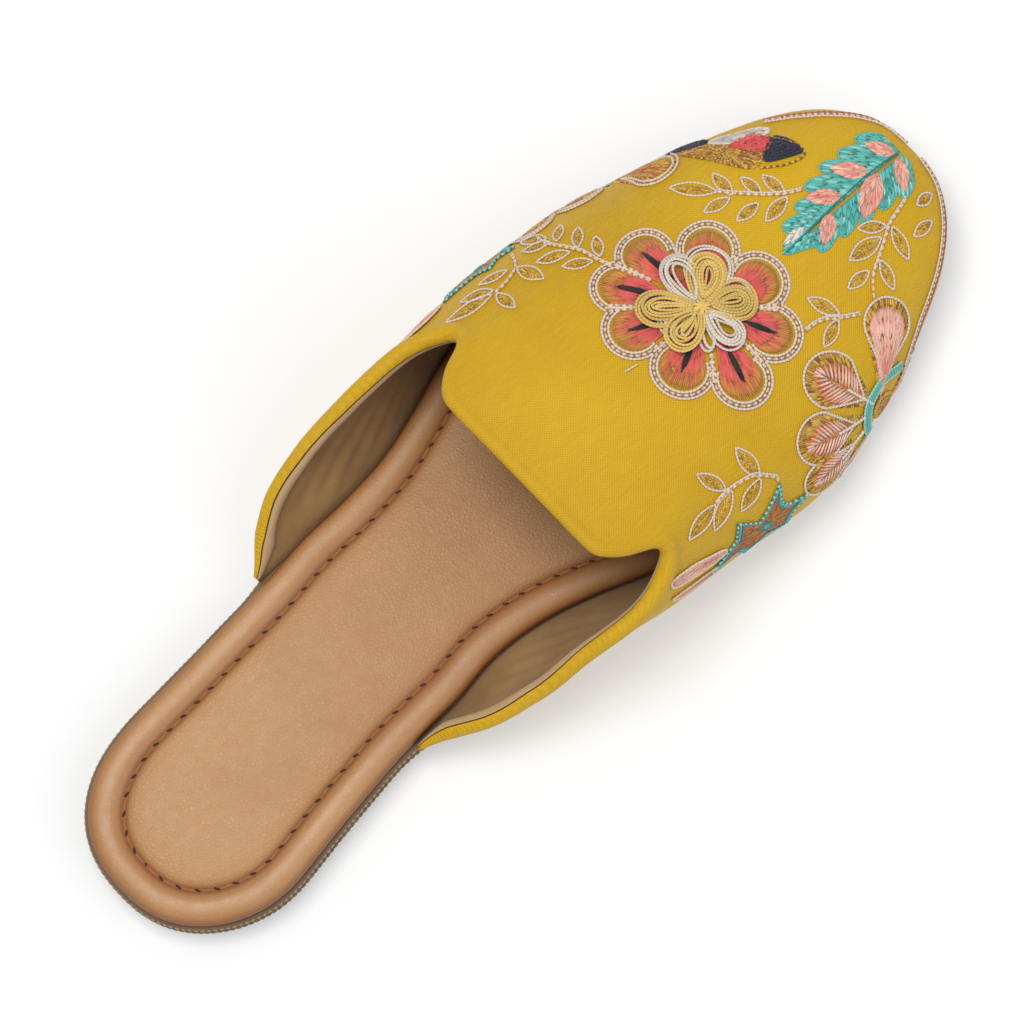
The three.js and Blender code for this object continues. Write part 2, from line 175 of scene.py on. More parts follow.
def soleBottomAt(x):    # flat at heel and forefoot, lifted by a squared sine under the arch
    start, end = shoe['arch']
    share = np.clip((x / length - start) / (end - start), 0, 1)
    return springAt(x) + shoe['archLift'] * np.sin(np.pi * share) ** 2


def outlinePoint(station, side, columns, heelEnd, toeEnd, spread):
    # Station 0 heel end, 1 to 2 straight part, 3 toe end. Both ends are superellipse quarters.
    station, side, spread = np.broadcast_arrays(np.asarray(station, float), side, spread)
    back = np.clip(1 - station, 0, 1) * np.pi / 2
    front = np.clip(station - 2, 0, 1) * np.pi / 2
    heelPower, toePower = 2 / shoe['heelRoundness'], 2 / shoe['toeRoundness']
    x = heelX + (poleX - heelX) * (station - 1)
    x = np.where(station < 1, heelX - (heelX - heelEnd + spread) * np.sin(back) ** heelPower, x)
    x = np.where(station > 2, poleX + (toeEnd + spread - poleX) * np.sin(front) ** toePower, x)
    rounding = np.where(station < 1, np.clip(np.cos(back), 0, 1) ** heelPower, 1.0)
    rounding = np.where(station > 2, np.clip(np.cos(front), 0, 1) ** toePower, rounding)
    rounding = np.where((station <= 0) | (station >= 3), 0, rounding)
    lateral = column(outlines, columns[0], x / length)
    medial = column(outlines, columns[1], x / length)
    edge = side * (np.where(side > 0, lateral, medial) * widthAt(x / length) + spread)
    return x, middleY(x) + (edge - middleY(x)) * rounding


def footbedOutline(station, side, spread):    # spread is how far it is moved outwards
    return outlinePoint(station, side, (1, 2), shoe['heelLedge'], footbedToeX, spread)


def outsoleOutline(station, side, inset):    # a ledge wider than the footbed
    along = footbedOutline(station, side, 0)[0] / length
    frontLedge = shoe['clearance'] + shoe['wall'] - shoe['upperOverhang']
    share = smoothShare(along, shoe['wingEnd'] - shoe['ledgeBlend'], shoe['wingEnd'] + shoe['ledgeBlend'])
    ledge = shoe['heelLedge'] + (frontLedge - shoe['heelLedge']) * share
    return footbedOutline(station, side, ledge - inset)


def widestOutline(station, side):    # the upper's widest line
    return outlinePoint(station, side, (3, 4), 0.0, shoe['upperToeReach'] * length, 0.0)


toeStations = np.linspace(2, 3, 1500)
toeBearings = {}
for side in (1, -1):
    rimX, rimY = widestOutline(toeStations, side)
    toeBearings[side] = np.arctan2(np.abs(rimY - middleY(poleX)), rimX - poleX)


def stationAtBearing(bearing, side):    # read back from the toe's table
    lateral = np.interp(-bearing, -toeBearings[1], toeStations)
    medial = np.interp(-bearing, -toeBearings[-1], toeStations)
    return np.where(side > 0, lateral, medial)


def upperStation(x, y, side):    # x up to the pole of the toe, then the bearing seen from it
    bearing = np.arctan2(np.abs(y - middleY(poleX)), x - poleX)
    return np.where(x <= poleX, 1 + (x - heelX) / (poleX - heelX), stationAtBearing(bearing, side))


def sideOf(x, y):    # 1 lateral, -1 medial of the middle line
    return np.where(y < middleY(np.minimum(x, poleX)), -1, 1)


def wallPoint(x, y, side=None):
    # Middle of the wall from a flat pattern: the distance from the ridge is the angle of a
    # superellipse arch, whose lower part leans in to the sole's edge.
    x, y = np.broadcast_arrays(np.asarray(x, float), np.asarray(y, float))
    side = sideOf(x, y) if side is None else side
    station = upperStation(x, y, side)
    rimX, rimY = widestOutline(station, side)
    featherX, featherY = footbedOutline(station, side, featherGap)
    footX = np.minimum(x, poleX)
    footY = middleY(footX)
    share = np.hypot(x - footX, y - footY) / np.hypot(rimX - footX, rimY - footY)
    angle = np.pi / 2 * (1 - share)
    power = column(arches, 2, x / length)
    cosine, sine = np.abs(np.cos(angle)), np.sin(angle)
    radius = (cosine ** power + np.abs(sine) ** power) ** (-1 / power)
    rise = radius * sine
    lean = np.clip(1 - rise / column(arches, 3, x / length), 0, None) ** 2
    planX = footX + (rimX - footX) * radius * cosine - (rimX - featherX) * lean
    planY = footY + (rimY - footY) * radius * cosine - (rimY - featherY) * lean
    low = soleTopAt(featherX) + shoe['clearance']
    ridge = shoe['instepHeight'] * column(arches, 1, planX / length)
    return np.stack([planX, planY, low + (ridge - low) * rise], -1)


def wallNormal(x, y, nudge=0.4):    # cross product of the wall's slopes forwards and sideways
    forwards = wallPoint(x + nudge, y) - wallPoint(x - nudge, y)
    sideways = wallPoint(x, y + nudge) - wallPoint(x, y - nudge)
    normal = np.cross(forwards, sideways)
    return normal / np.linalg.norm(normal, axis=-1, keepdims=True)


def levelled(normal, height):    # turned level close to the sole
    normal = normal.copy()
    normal[..., 2] *= smoothShare(height, 0, 1.5 * shoe['footbedThickness'])
    return normal / np.linalg.norm(normal, axis=-1, keepdims=True)


# The cloth's own plane, in real millimetres: u runs along the shoe and v is the way round the
# arch from the ridge. Beyond the pole of the toe the same distance runs outwards from the pole.
clothGrid = {'stations': np.linspace(1.2, 3, 181), 'shares': np.linspace(0, 1, 161)}


def girthTable(side):    # arc length from the ridge for each station and share of the way down
    stations, shares = np.meshgrid(clothGrid['stations'], clothGrid['shares'], indexing='ij')
    rimX, rimY = widestOutline(stations, side)
    footX = np.minimum(rimX, poleX)
    footY = middleY(footX)
    points = wallPoint(footX + (rimX - footX) * shares, footY + (rimY - footY) * shares, side)
    steps = np.linalg.norm(np.diff(points, axis=1), axis=-1)
    return np.concatenate([np.zeros((len(stations), 1)), np.cumsum(steps, axis=1)], 1)


def evenShares(table):    # share of the pattern's way down for even shares of the arc's length
    return np.array([np.interp(clothGrid['shares'], row / row[-1], clothGrid['shares']) for row in table])


girths = {side: girthTable(side) for side in (1, -1)}
shareTables = {side: evenShares(girths[side]) for side in (1, -1)}


def lookUp(table, station, share):    # value between a table's stations and shares
    first, second = clothGrid['stations'][:2]
    step = second - first
    row = np.clip((station - first) / step, 0, len(table) - 1.001)
    cell = np.clip(share, 0, 1) * (table.shape[1] - 1.001)
    low, left = row.astype(int), cell.astype(int)
    s, t = row - low, cell - left
    near = table[low, left] * (1 - t) + table[low, left + 1] * t
    far = table[low + 1, left] * (1 - t) + table[low + 1, left + 1] * t
    return near * (1 - s) + far * s


def clothToPattern(u, v):    # the share of the girth becomes the share of the pattern's way down
    u, v = np.broadcast_arrays(np.asarray(u, float), np.asarray(v, float))
    side = np.where(v < 0, -1, 1)
    away = np.where(u > poleX, np.hypot(u - poleX, v), np.abs(v))
    beyond = stationAtBearing(np.arctan2(np.abs(v), u - poleX), side)
    station = np.where(u <= poleX, 1 + (u - heelX) / (poleX - heelX), beyond)
    share = np.zeros(u.shape)
    for s in (1, -1):
        whole = lookUp(girths[s], station, np.ones(u.shape))
        share = np.where(side == s, lookUp(shareTables[s], station, away / whole), share)
    rimX, rimY = widestOutline(station, side)
    footX = np.minimum(u, poleX)
    footY = middleY(footX)
    return footX + (rimX - footX) * share, footY + (rimY - footY) * share


def shareDown(u, v):    # how far down the arch a place in the cloth's plane is, 1 at the sole
    away = np.where(u > poleX, np.hypot(u - poleX, v), np.abs(v))
    whole = np.zeros(np.shape(u))
    for s in (1, -1):
        beyond = stationAtBearing(np.arctan2(np.abs(v), u - poleX), s)
        station = np.where(u <= poleX, 1 + (u - heelX) / (poleX - heelX), beyond)
        girth = lookUp(girths[s], station, np.ones(np.shape(u)))
        whole = np.where((v < 0) == (s < 0), girth, whole)
    return away / whole


def patternToCloth(x, y, side):    # the other way round, with arc lengths from the girth table
    station = upperStation(x, y, side)
    rimX, rimY = widestOutline(station, side)
    footX = np.minimum(x, poleX)
    footY = middleY(footX)
    share = np.hypot(x - footX, y - footY) / np.hypot(rimX - footX, rimY - footY)
    away = np.where(side > 0, lookUp(girths[1], station, share), lookUp(girths[-1], station, share))
    bearing = np.arctan2(y - middleY(poleX), x - poleX)
    u = np.where(x > poleX, poleX + away * np.cos(bearing), x)
    return u, np.where(x > poleX, away * np.sin(bearing), side * away)


# Soft creases of the cloth, in its plane: start, end, width and depth
creases = [
    ((168, 38), (141, 37), 4.5, 0.55),
    ((164, -33), (143, -34), 4.0, 0.45),
    ((150, 47), (128, 50), 3.0, 0.4),
    ((146, -45), (126, -49), 3.0, 0.4),
    ((196, 33), (176, 30), 5.0, 0.3),
    ((158, 14), (134, 18), 7.0, 0.25),
    ((160, -14), (136, -12), 6.0, 0.2),
    ((226, 16), (214, 25), 3.0, 0.2),
]


def clothRelief(u, v):
    # Troughs along the creases, fading at their ends, and shallow puckers from crossed sines
    height = 0.05 * np.sin(u / 1.9 + 1.3 * np.sin(v / 7)) * np.sin(v / 2.3 + np.sin(u / 9))
    height = height + 0.07 * np.sin(u / 6.1 + v / 8.3) * np.sin(v / 5.2 - u / 11)
    for start, end, width, depth in creases:
        start, end = np.array(start, float), np.array(end, float)
        along = end - start
        share = ((u - start[0]) * along[0] + (v - start[1]) * along[1]) / (along @ along)
        near = np.clip(share, 0, 1)
        away = np.hypot(u - start[0] - near * along[0], v - start[1] - near * along[1])
        fade = smoothShare(share, -0.3, 0.3) * smoothShare(share, 1.3, 0.7)
        height = height - depth * fade * np.exp(-(away / width) ** 2)
    return height


def clothSurface(u, v, lift=0.0):    # point and normal on the outside of the cloth
    x, y = clothToPattern(u, v)
    middle, normal = wallPoint(x, y), wallNormal(x, y)
    height = middle[..., 2] - soleTopAt(middle[..., 0]) - shoe['clearance']
    normal = levelled(normal, height)
    out = shoe['wall'] / 2 + clothRelief(u, v) + lift
    return middle + normal * np.asarray(out)[..., None], normal


# Meshes from arrays

def gridFaces(rows, columns, closeRows=False, closeColumns=False):    # quads of a grid of points
    r = np.arange(rows if closeRows else rows - 1)[:, None]
    c = np.arange(columns if closeColumns else columns - 1)[None, :]
    nextR, nextC = (r + 1) % rows, (c + 1) % columns
    corners = [r * columns + c, nextR * columns + c, nextR * columns + nextC, r * columns + nextC]
    return np.stack([np.broadcast_to(k, (r.size, c.size)).ravel() for k in corners], 1)


def makePiece(name, points, faces, materials, faceMaterial=None, values=None, colours=None, cloth=None):
    # values and colours are stored for each point, cloth as a UV layer in millimetres
    place = np.array([*shoe['drawnFrom'], 0.0])
    mesh = bpy.data.meshes.new(name)
    mesh.vertices.add(len(points))
    mesh.vertices.foreach_set('co', ((points + place) / 1000).astype(np.float32).ravel())
    mesh.loops.add(faces.size)
    mesh.loops.foreach_set('vertex_index', faces.astype(np.int32).ravel())
    mesh.polygons.add(len(faces))
    mesh.polygons.foreach_set('loop_start', np.arange(0, faces.size, faces.shape[1], dtype=np.int32))
    mesh.polygons.foreach_set('use_smooth', np.ones(len(faces), bool))
    if faceMaterial is not None:
        mesh.polygons.foreach_set('material_index', np.asarray(faceMaterial, np.int32))
    for material in materials:
        mesh.materials.append(material)
    for key, value in (values or {}).items():
        mesh.attributes.new(key, 'FLOAT', 'POINT').data.foreach_set('value', np.asarray(value, np.float32))
    if colours is not None:
        tint = np.concatenate([colours, np.ones((len(colours), 1))], 1).astype(np.float32)
        mesh.attributes.new('tint', 'FLOAT_COLOR', 'POINT').data.foreach_set('color', tint.ravel())
    if cloth is not None:
        layer = mesh.uv_layers.new(name='cloth')
        layer.data.foreach_set('uv', cloth[faces.ravel()].astype(np.float32).ravel())
    mesh.update(calc_edges=True)
    mesh.validate()
    piece = bpy.data.objects.new(name, mesh)
    bpy.context.scene.collection.objects.link(piece)
    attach(piece, 'root')
    return piece


def closeSeams(piece, distance=0.00002):    # doubled points at seams and poles become one
    shape = bmesh.new()
    shape.from_mesh(piece.data)
    bmesh.ops.remove_doubles(shape, verts=shape.verts, dist=distance)
    bmesh.ops.recalc_face_normals(shape, faces=shape.faces)
    shape.to_mesh(piece.data)
    shape.free()


# Shader nodes

def srgb(red, green, blue):    # colour as seen on a screen, 0 to 255, to the renderer's own scale
    share = np.array([red, green, blue]) / 255
    linear = np.where(share <= 0.04045, share / 12.92, ((share + 0.055) / 1.055) ** 2.4)
    return (*(float(value) for value in linear), 1.0)


def put(tree, kind, settings=None, inputs=None):    # a node, its settings and what feeds it
    node = tree.nodes.new(kind)
    for name, value in (settings or {}).items():
        setattr(node, name, value)
    for name, value in (inputs or {}).items():
        socket = node.inputs[name]
        if isinstance(value, bpy.types.NodeSocket):
            tree.links.new(value, socket)
        else:
            socket.default_value = value
    return node


def maths(tree, operation, first, second=0.0, third=0.0):    # one step of arithmetic on sockets
    return put(tree, 'ShaderNodeMath', {'operation': operation}, {0: first, 1: second, 2: third}).outputs[0]


def mixColour(tree, share, first, second, blend='MIX'):    # first at share 0, second at share 1
    settings = {'data_type': 'RGBA', 'blend_type': blend}
    return put(tree, 'ShaderNodeMix', settings, {0: share, 6: first, 7: second}).outputs[2]


def spread(tree, value, low, high, toLow=0.0, toHigh=1.0):    # a range stretched to another
    inputs = {'Value': value, 'From Min': low, 'From Max': high, 'To Min': toLow, 'To Max': toHigh}
    return put(tree, 'ShaderNodeMapRange', None, inputs).outputs[0]


def noise(tree, vector, scale, detail=3.0, rough=0.5):    # its value lies mostly from 0.3 to 0.7
    inputs = {'Vector': vector, 'Scale': scale, 'Detail': detail, 'Roughness': rough}
    return put(tree, 'ShaderNodeTexNoise', None, inputs).outputs['Fac']


def objectPlace(tree):    # place on the piece in metres
    return put(tree, 'ShaderNodeTexCoord').outputs['Object']


def attribute(tree, name, output='Fac'):    # a value or colour stored with the mesh
    return put(tree, 'ShaderNodeAttribute', {'attribute_name': name}).outputs[output]


def makeGroup(name, inputs, outputs):    # a node group, its given sockets and its results
    group = bpy.data.node_groups.new(name, 'ShaderNodeTree')
    for label, kind, value in inputs:
        socket = group.interface.new_socket(label, in_out='INPUT', socket_type=kind)
        if value is not None:
            socket.default_value = value
    for label, kind in outputs:
        group.interface.new_socket(label, in_out='OUTPUT', socket_type=kind)
    return group, group.nodes.new('NodeGroupInput').outputs, group.nodes.new('NodeGroupOutput').inputs


def makeWeave():    # plain weave: two crossed sines, with slubs along one thread direction
    group, given, result = makeGroup(
        'plain weave',
        [('Place', 'NodeSocketVector', None), ('Thread', 'NodeSocketFloat', 0.7),
         ('Slub', 'NodeSocketFloat', 0.4)],
        [('Height', 'NodeSocketFloat'), ('Slubs', 'NodeSocketFloat')],
    )
    split = put(group, 'ShaderNodeSeparateXYZ', None, {0: given['Place']}).outputs
    turn = maths(group, 'DIVIDE', 2 * math.pi, given['Thread'])
    along = maths(group, 'SINE', maths(group, 'MULTIPLY', split[0], turn))
    across = maths(group, 'SINE', maths(group, 'MULTIPLY', split[1], turn))
    crossed = maths(group, 'MULTIPLY', along, across)
    longways = {0: given['Place'], 1: (0.25, 2.0, 1.0)}
    stretched = put(group, 'ShaderNodeVectorMath', {'operation': 'MULTIPLY'}, longways)
    slubs = noise(group, stretched.outputs[0], 0.8, 4.0, 0.6)
    rough = maths(group, 'MULTIPLY', maths(group, 'SUBTRACT', slubs, 0.5), given['Slub'])
    group.links.new(maths(group, 'ADD', maths(group, 'MULTIPLY', crossed, 0.5), rough), result['Height'])
    group.links.new(slubs, result['Slubs'])
    return group


def makeMottle():    # slow noise, and noise fourteen times finer
    group, given, result = makeGroup(
        'mottle',
        [('Place', 'NodeSocketVector', None), ('Scale', 'NodeSocketFloat', 60.0)],
        [('Slow', 'NodeSocketFloat'), ('Fast', 'NodeSocketFloat')],
    )
    group.links.new(noise(group, given['Place'], given['Scale'], 3.0, 0.55), result['Slow'])
    fast = maths(group, 'MULTIPLY', given['Scale'], 14.0)
    group.links.new(noise(group, given['Place'], fast, 4.0, 0.6), result['Fast'])
    return group


def makeGrain():    # leather grain: fine pebbles over a soft noise
    group, given, result = makeGroup(
        'leather grain',
        [('Place', 'NodeSocketVector', None), ('Cells', 'NodeSocketFloat', 1100.0)],
        [('Height', 'NodeSocketFloat')],
    )
    fine = put(group, 'ShaderNodeTexVoronoi', {'feature': 'DISTANCE_TO_EDGE'}, {
        'Vector': given['Place'], 'Scale': given['Cells']}).outputs['Distance']
    soft = noise(group, given['Place'], 650.0, 2.0)
    cells = maths(group, 'ADD', spread(group, fine, 0.0, 0.4), soft)
    group.links.new(cells, result['Height'])
    return group


weaveGroup, mottleGroup, grainGroup = makeWeave(), makeMottle(), makeGrain()


def useGroup(tree, group, **inputs):    # a node group's results in a material
    return put(tree, 'ShaderNodeGroup', {'node_tree': group}, inputs).outputs


def startMaterial(name, roughness, sheen=0.0, specular=0.4):    # with what stays the same all over
    material = bpy.data.materials.new(name)
    material.use_nodes = True
    tree = material.node_tree
    shader = tree.nodes['Principled BSDF']
    shader.inputs['Roughness'].default_value = roughness
    shader.inputs['Sheen Weight'].default_value = sheen
    shader.inputs['Specular IOR Level'].default_value = specular
    return material, tree, shader


def bumpInto(tree, shader, height, depth):    # depth in metres
    bump = put(tree, 'ShaderNodeBump', None, {'Height': height, 'Distance': depth, 'Strength': 1.0})
    tree.links.new(bump.outputs[0], shader.inputs['Normal'])


def feed(tree, shader, name, value):    # link a result to the surface
    tree.links.new(value, shader.inputs[name])


def clothPlace(tree):    # the cloth's own millimetres
    return put(tree, 'ShaderNodeUVMap', {'uv_map': 'cloth'}).outputs[0]


satinLook = {
    'bright': srgb(219, 177, 16),
    'deep': srgb(205, 161, 10),
    'slub': srgb(226, 187, 36),
    'pit': srgb(160, 112, 8),
    'sheen': srgb(255, 226, 130),
    'thread': 0.74,              # width of a thread in millimetres
    'bump': 0.00011,
}


def satinMaterial():    # two slow shades, pale slubs and darker pits between threads
    material, tree, shader = startMaterial('mustard satin', 0.5, 0.08, 0.35)
    shader.inputs['Sheen Roughness'].default_value = 0.4
    shader.inputs['Sheen Tint'].default_value = satinLook['sheen']
    weave = useGroup(tree, weaveGroup, Place=clothPlace(tree), Thread=satinLook['thread'], Slub=0.9)
    mottle = useGroup(tree, mottleGroup, Place=objectPlace(tree), Scale=22.0)
    base = mixColour(tree, spread(tree, mottle['Slow'], 0.3, 0.7), satinLook['deep'], satinLook['bright'])
    base = mixColour(tree, spread(tree, weave['Slubs'], 0.5, 0.8, 0.0, 0.35), base, satinLook['slub'])
    pits = spread(tree, weave['Height'], -0.6, 0.6, 0.34, 0.0)
    base = mixColour(tree, pits, base, satinLook['pit'])
    feed(tree, shader, 'Base Color', base)
    feed(tree, shader, 'Roughness', spread(tree, mottle['Fast'], 0.3, 0.7, 0.48, 0.62))
    bumpInto(tree, shader, weave['Height'], satinLook['bump'])
    return material


def liningMaterial():    # brushed weave in two slow shades
    material, tree, shader = startMaterial('taupe lining', 0.85, 0.12, 0.2)
    shader.inputs['Sheen Roughness'].default_value = 0.6
    weave = useGroup(tree, weaveGroup, Place=clothPlace(tree), Thread=0.55, Slub=0.8)
    mottle = useGroup(tree, mottleGroup, Place=objectPlace(tree), Scale=70.0)
    base = mixColour(tree, spread(tree, mottle['Slow'], 0.3, 0.7), srgb(142, 106, 62), srgb(166, 130, 82))
    base = mixColour(tree, spread(tree, weave['Height'], -0.5, 0.5, 0.18, 0.0), base, srgb(112, 80, 46))
    feed(tree, shader, 'Base Color', base)
    bumpInto(tree, shader, weave['Height'], 0.00007)
    return material


def tapeMaterial():    # paler folded edge of the lining, its paleness partly painted light on the lining's upper part
    material, tree, shader = startMaterial('lining edge, partly painted light', 0.75, 0.3, 0.25)
    weave = useGroup(tree, weaveGroup, Place=clothPlace(tree), Thread=0.5, Slub=0.6)
    mottle = useGroup(tree, mottleGroup, Place=objectPlace(tree), Scale=90.0)
    # paler than the lining: a real folded edge, partly painted light where the lining's upper part is lit
    base = mixColour(tree, mottle['Slow'], srgb(180, 144, 100), srgb(204, 172, 128))
    base = mixColour(tree, spread(tree, weave['Height'], -0.5, 0.5, 0.15, 0.0), base, srgb(132, 100, 64))
    feed(tree, shader, 'Base Color', base)
    bumpInto(tree, shader, weave['Height'], 0.00008)
    return material


def mottledMaterial(name, surface, scale, dark, light):    # two shades by slow noise, fine bump
    material, tree, shader = startMaterial(name, *surface)
    mottle = useGroup(tree, mottleGroup, Place=objectPlace(tree), Scale=scale)
    feed(tree, shader, 'Base Color', mixColour(tree, mottle['Slow'], dark, light))
    bumpInto(tree, shader, mottle['Fast'], 0.0001)
    return material


# Upper

upperLook = {
    'columnsPerSide': 150,
    'rollRows': 16,
    'wallRows': 40,
    'crowding': 1.5,
    'samples': 120,
    'leadBlend': 0.12,
    'tongueRoll': 0.72,          # the throat edge is a thinner fold than the wings' roll
    'tongueSteps': (5.5, 8.5),   # steps of the topline over which it gets thinner
    'rollReach': 1.1,            # its rows reach so many times its thickness
    'rollBlend': 2.4,            # the roll runs out into the wall at so many radii
    'shadowLine': (0.6, 0.9),      # distances from the edge down the inside of a painted shadow line at the fold
    'tape': (0.9, 3.8),
    'tapeRise': 0.2,
    'tapeStep': 0.3,
    'seam': (0.15, 0.2),         # depth and width of the groove beside the tape
    'bulgeEnd': 26,              # distances from the edge or from the sole where a form fades
    'footFade': (0, 8),
    'reliefFade': (1, 8),
    'reliefFoot': (0, 4),
    'wrinkleDepth': 0.5,
    'wrinkleSpacing': 5.6,
    'wrinkleFade': 5,
    'wrinkleFoot': (1, 9),
}


# How far a wing's upper edge stands out sideways: place along the shoe, outer wing, inner wing
wingBulge = np.array([
    (60, 0.6, -1), (68, 1.4, -1.2), (74, 1.8, -0.9), (80, 2.3, -0.5), (86, 2.35, 0), (92, 1.85, 0.4),
    (98, 1.5, 0.7), (104, 1.25, 0.8), (110, 1.4, 0.7), (116, 1.3, 0.5), (122, 0.8, 0.2), (128, 0.35, 0),
    (134, 0, 0), (160, 0, 0),
])


def toplinePoint(step, side):    # wrap is the share of the way in from the widest line
    x = column(topline, 1, step) * length
    rimY = widestOutline(upperStation(x, np.zeros_like(x), side), side)[1]
    return x, middleY(x) + (rimY - middleY(x)) * (1 - column(topline, 2, step))


def toplineSteps(side):    # half by its length, half by the table's rows
    last = len(topline) - 1
    fine = np.linspace(0, last, 401)
    x, y = toplinePoint(fine, side)
    run = np.concatenate([[0], np.cumsum(np.hypot(np.diff(x), np.diff(y)))])
    shares = np.linspace(0, 1, upperLook['columnsPerSide'] + 1)
    return (last * shares + np.interp(shares * run[-1], run, fine)) / 2


def patternColumns(side):    # quadratic curves from the topline to the sole's edge
    steps = toplineSteps(side)
    startX, startY = toplinePoint(steps, side)
    foot = column(topline, 3, steps)
    wingStation = upperStation(np.array(shoe['wingEnd'] * length), np.array(0.0), side)
    station = np.where(foot < 1, wingStation + (2 - wingStation) * foot, 1 + foot)
    endX, endY = widestOutline(station, side)
    lead = column(topline, 4, steps) * shoe['ballWidth']
    turn = np.radians(column(topline, 5, steps))
    blend = smoothShare(lead, 0, upperLook['leadBlend'] * shoe['ballWidth'])
    controlX = (startX + endX) / 2 * (1 - blend) + (startX + lead * np.cos(turn)) * blend
    controlY = (startY + endY) / 2 * (1 - blend) + (startY + side * lead * np.sin(turn)) * blend
    ends = np.stack([startX, startY], 1), np.stack([controlX, controlY], 1), np.stack([endX, endY], 1)
    return *ends, steps


def alongCurve(curves, t):    # quadratic curves from end points and a control point, a row of t for each
    start, control, end = (part[:, None, :] for part in curves)
    t = t[..., None]
    return start * (1 - t) ** 2 + 2 * control * t * (1 - t) + end * t * t


def wallColumns(side):
    # Points down every column of the wall: rows crowd together over the roll and below it
    *curves, steps = patternColumns(side)
    t = np.tile(np.linspace(0, 1, upperLook['samples'] + 1), (len(steps), 1))
    pattern = alongCurve(curves, t)
    points = wallPoint(pattern[..., 0], pattern[..., 1], side)
    spans = np.linalg.norm(np.diff(points, axis=1), axis=-1)
    run = np.concatenate([np.zeros((len(steps), 1)), np.cumsum(spans, axis=1)], 1)
    whole = run[:, -1:]
    scale = np.minimum(1, whole / (2 * shoe['roll']))
    tongue = 1 - (1 - upperLook['tongueRoll']) * smoothShare(steps[:, None], *upperLook['tongueSteps'])
    radius = scale * tongue * shoe['roll'] / 2
    turn = np.linspace(0, 1, upperLook['rollRows'])
    rollPart = radius * (1 - np.cos(np.pi * turn))[None, :] * upperLook['rollReach']
    left = 1 - np.arange(1, upperLook['wallRows'] + 1) / upperLook['wallRows']
    down = 1 - left ** upperLook['crowding']
    wallPart = rollPart[:, -1:] + (whole - rollPart[:, -1:]) * down
    distance = np.concatenate([rollPart, wallPart], 1)
    offset = 2000.0 * np.arange(len(steps))[:, None]    # keeps the columns' lengths apart
    found = np.interp((distance + offset).ravel(), (run + offset).ravel(), t.ravel())
    pattern = alongCurve(curves, found.reshape(distance.shape))
    return pattern, distance, whole, scale, radius


def halfWall(distance, radius, scale):    # a round bead that runs out smoothly into the plain wall
    half = scale * shoe['wall'] / 2
    bead = np.sqrt(np.clip(radius ** 2 - (distance - radius) ** 2, 0, None))
    ease = half + (radius - half) * (1 - smoothShare(distance, radius, upperLook['rollBlend'] * radius))
    return np.where(distance < radius, bead, np.maximum(bead, ease))


def buildUpper():
    # Both faces of the wall stand half its thickness from the middle surface. Relief is added to
    # the cloth, and tape, seam and wrinkles to the lining.
    look = upperLook
    parts = []
    for side in (1, -1):
        grids = wallColumns(side)
        if side < 0:    # the middle column belongs to the lateral side
            grids = [grid[-2::-1] for grid in grids]
        pattern, distance, whole, scale, radius = grids
        toSole = whole - distance
        x, y = pattern[..., 0], pattern[..., 1]
        middle, normal = wallPoint(x, y, side), wallNormal(x, y)
        bulge = column(wingBulge, 1 if side > 0 else 2, x) * smoothShare(distance, look['bulgeEnd'], 2)
        middle[..., 1] += side * bulge * smoothShare(toSole, *look['footFade'])
        normal = levelled(normal, middle[..., 2] - soleTopAt(middle[..., 0]) - shoe['clearance'])
        u, v = patternToCloth(x, y, side)
        half = halfWall(distance, radius, scale)
        relief = clothRelief(u, v) * smoothShare(distance, *look['reliefFade'])
        relief = relief * smoothShare(toSole, *look['reliefFoot'])
        start, end = (edge * scale for edge in look['tape'])
        tape = look['tapeRise'] * scale * smoothShare(distance, start, start + look['tapeStep'])
        tape = tape * smoothShare(distance, end + look['tapeStep'], end - look['tapeStep'])
        depth, width = look['seam']
        seam = -depth * scale * np.exp(-((distance - start + depth) / width) ** 2)
        wave = np.sin(2 * np.pi * distance / look['wrinkleSpacing'] + u / 13 + 1.4 * np.sin(u / 17))
        soft = smoothShare(distance, end, end + look['wrinkleFade'])
        soft = soft * smoothShare(toSole, *look['wrinkleFoot'])
        wrinkle = look['wrinkleDepth'] * soft * (wave - 0.6) * (0.6 + 0.4 * np.sin(u / 9 + 2))
        outer = middle + normal * (half + relief)[..., None]
        inner = middle - normal * (half + tape + seam + wrinkle * 0.5)[..., None]
        for face in (outer, inner):
            face[:, -1, 2] = soleTopAt(face[:, -1, 0]) + shoe['clearance']
        ring = np.concatenate([inner[:, ::-1], outer[:, 1:]], 1)
        cloth = np.stack([np.concatenate([a[:, ::-1], a[:, 1:]], 1) for a in (u, v)], -1)
        signed = np.concatenate([-distance[:, ::-1], distance[:, 1:]], 1) / scale
        parts.append((ring, cloth, signed))
    ring, cloth, signed = (np.concatenate([part[k] for part in parts]) for k in range(3))
    count, size = ring.shape[:2]
    faces = gridFaces(count, size, closeColumns=True)[:, ::-1]
    between = (signed + np.roll(signed, -1, axis=1))[:-1] / 2
    between[:, -1] = 50    # the narrow strip under the lower edge
    zone = np.zeros(between.shape, int)
    zone[between < -look['shadowLine'][0]] = 3
    zone[between < -look['tape'][0]] = 2
    zone[between < -look['tape'][1]] = 1
    half = size // 2
    step = np.arange(half)
    cap = np.stack([step, size - 1 - step, size - 2 - step, step + 1], 1)[:-1]
    last = (count - 1) * size
    faces = np.concatenate([faces, cap, last + cap[:, ::-1]])
    zone = np.concatenate([zone.ravel(), np.zeros(2 * len(cap), int)])
    # painted shadow: a dark band inside the fold, between the satin's roll and the lining's edge
    shadow = mottledMaterial('painted shadow line', (0.8, 0.1, 0.2), 300.0, srgb(52, 34, 14), srgb(96, 66, 24))
    materials = [satinMaterial(), liningMaterial(), tapeMaterial(), shadow]
    points, cloth = ring.reshape(-1, 3), cloth.reshape(-1, 2)
    upper = makePiece('upper_cloth', points, faces, materials, zone, cloth=cloth)
    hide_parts('upper')
    print('upper:', len(points), 'points')


buildUpper()


# Footbed

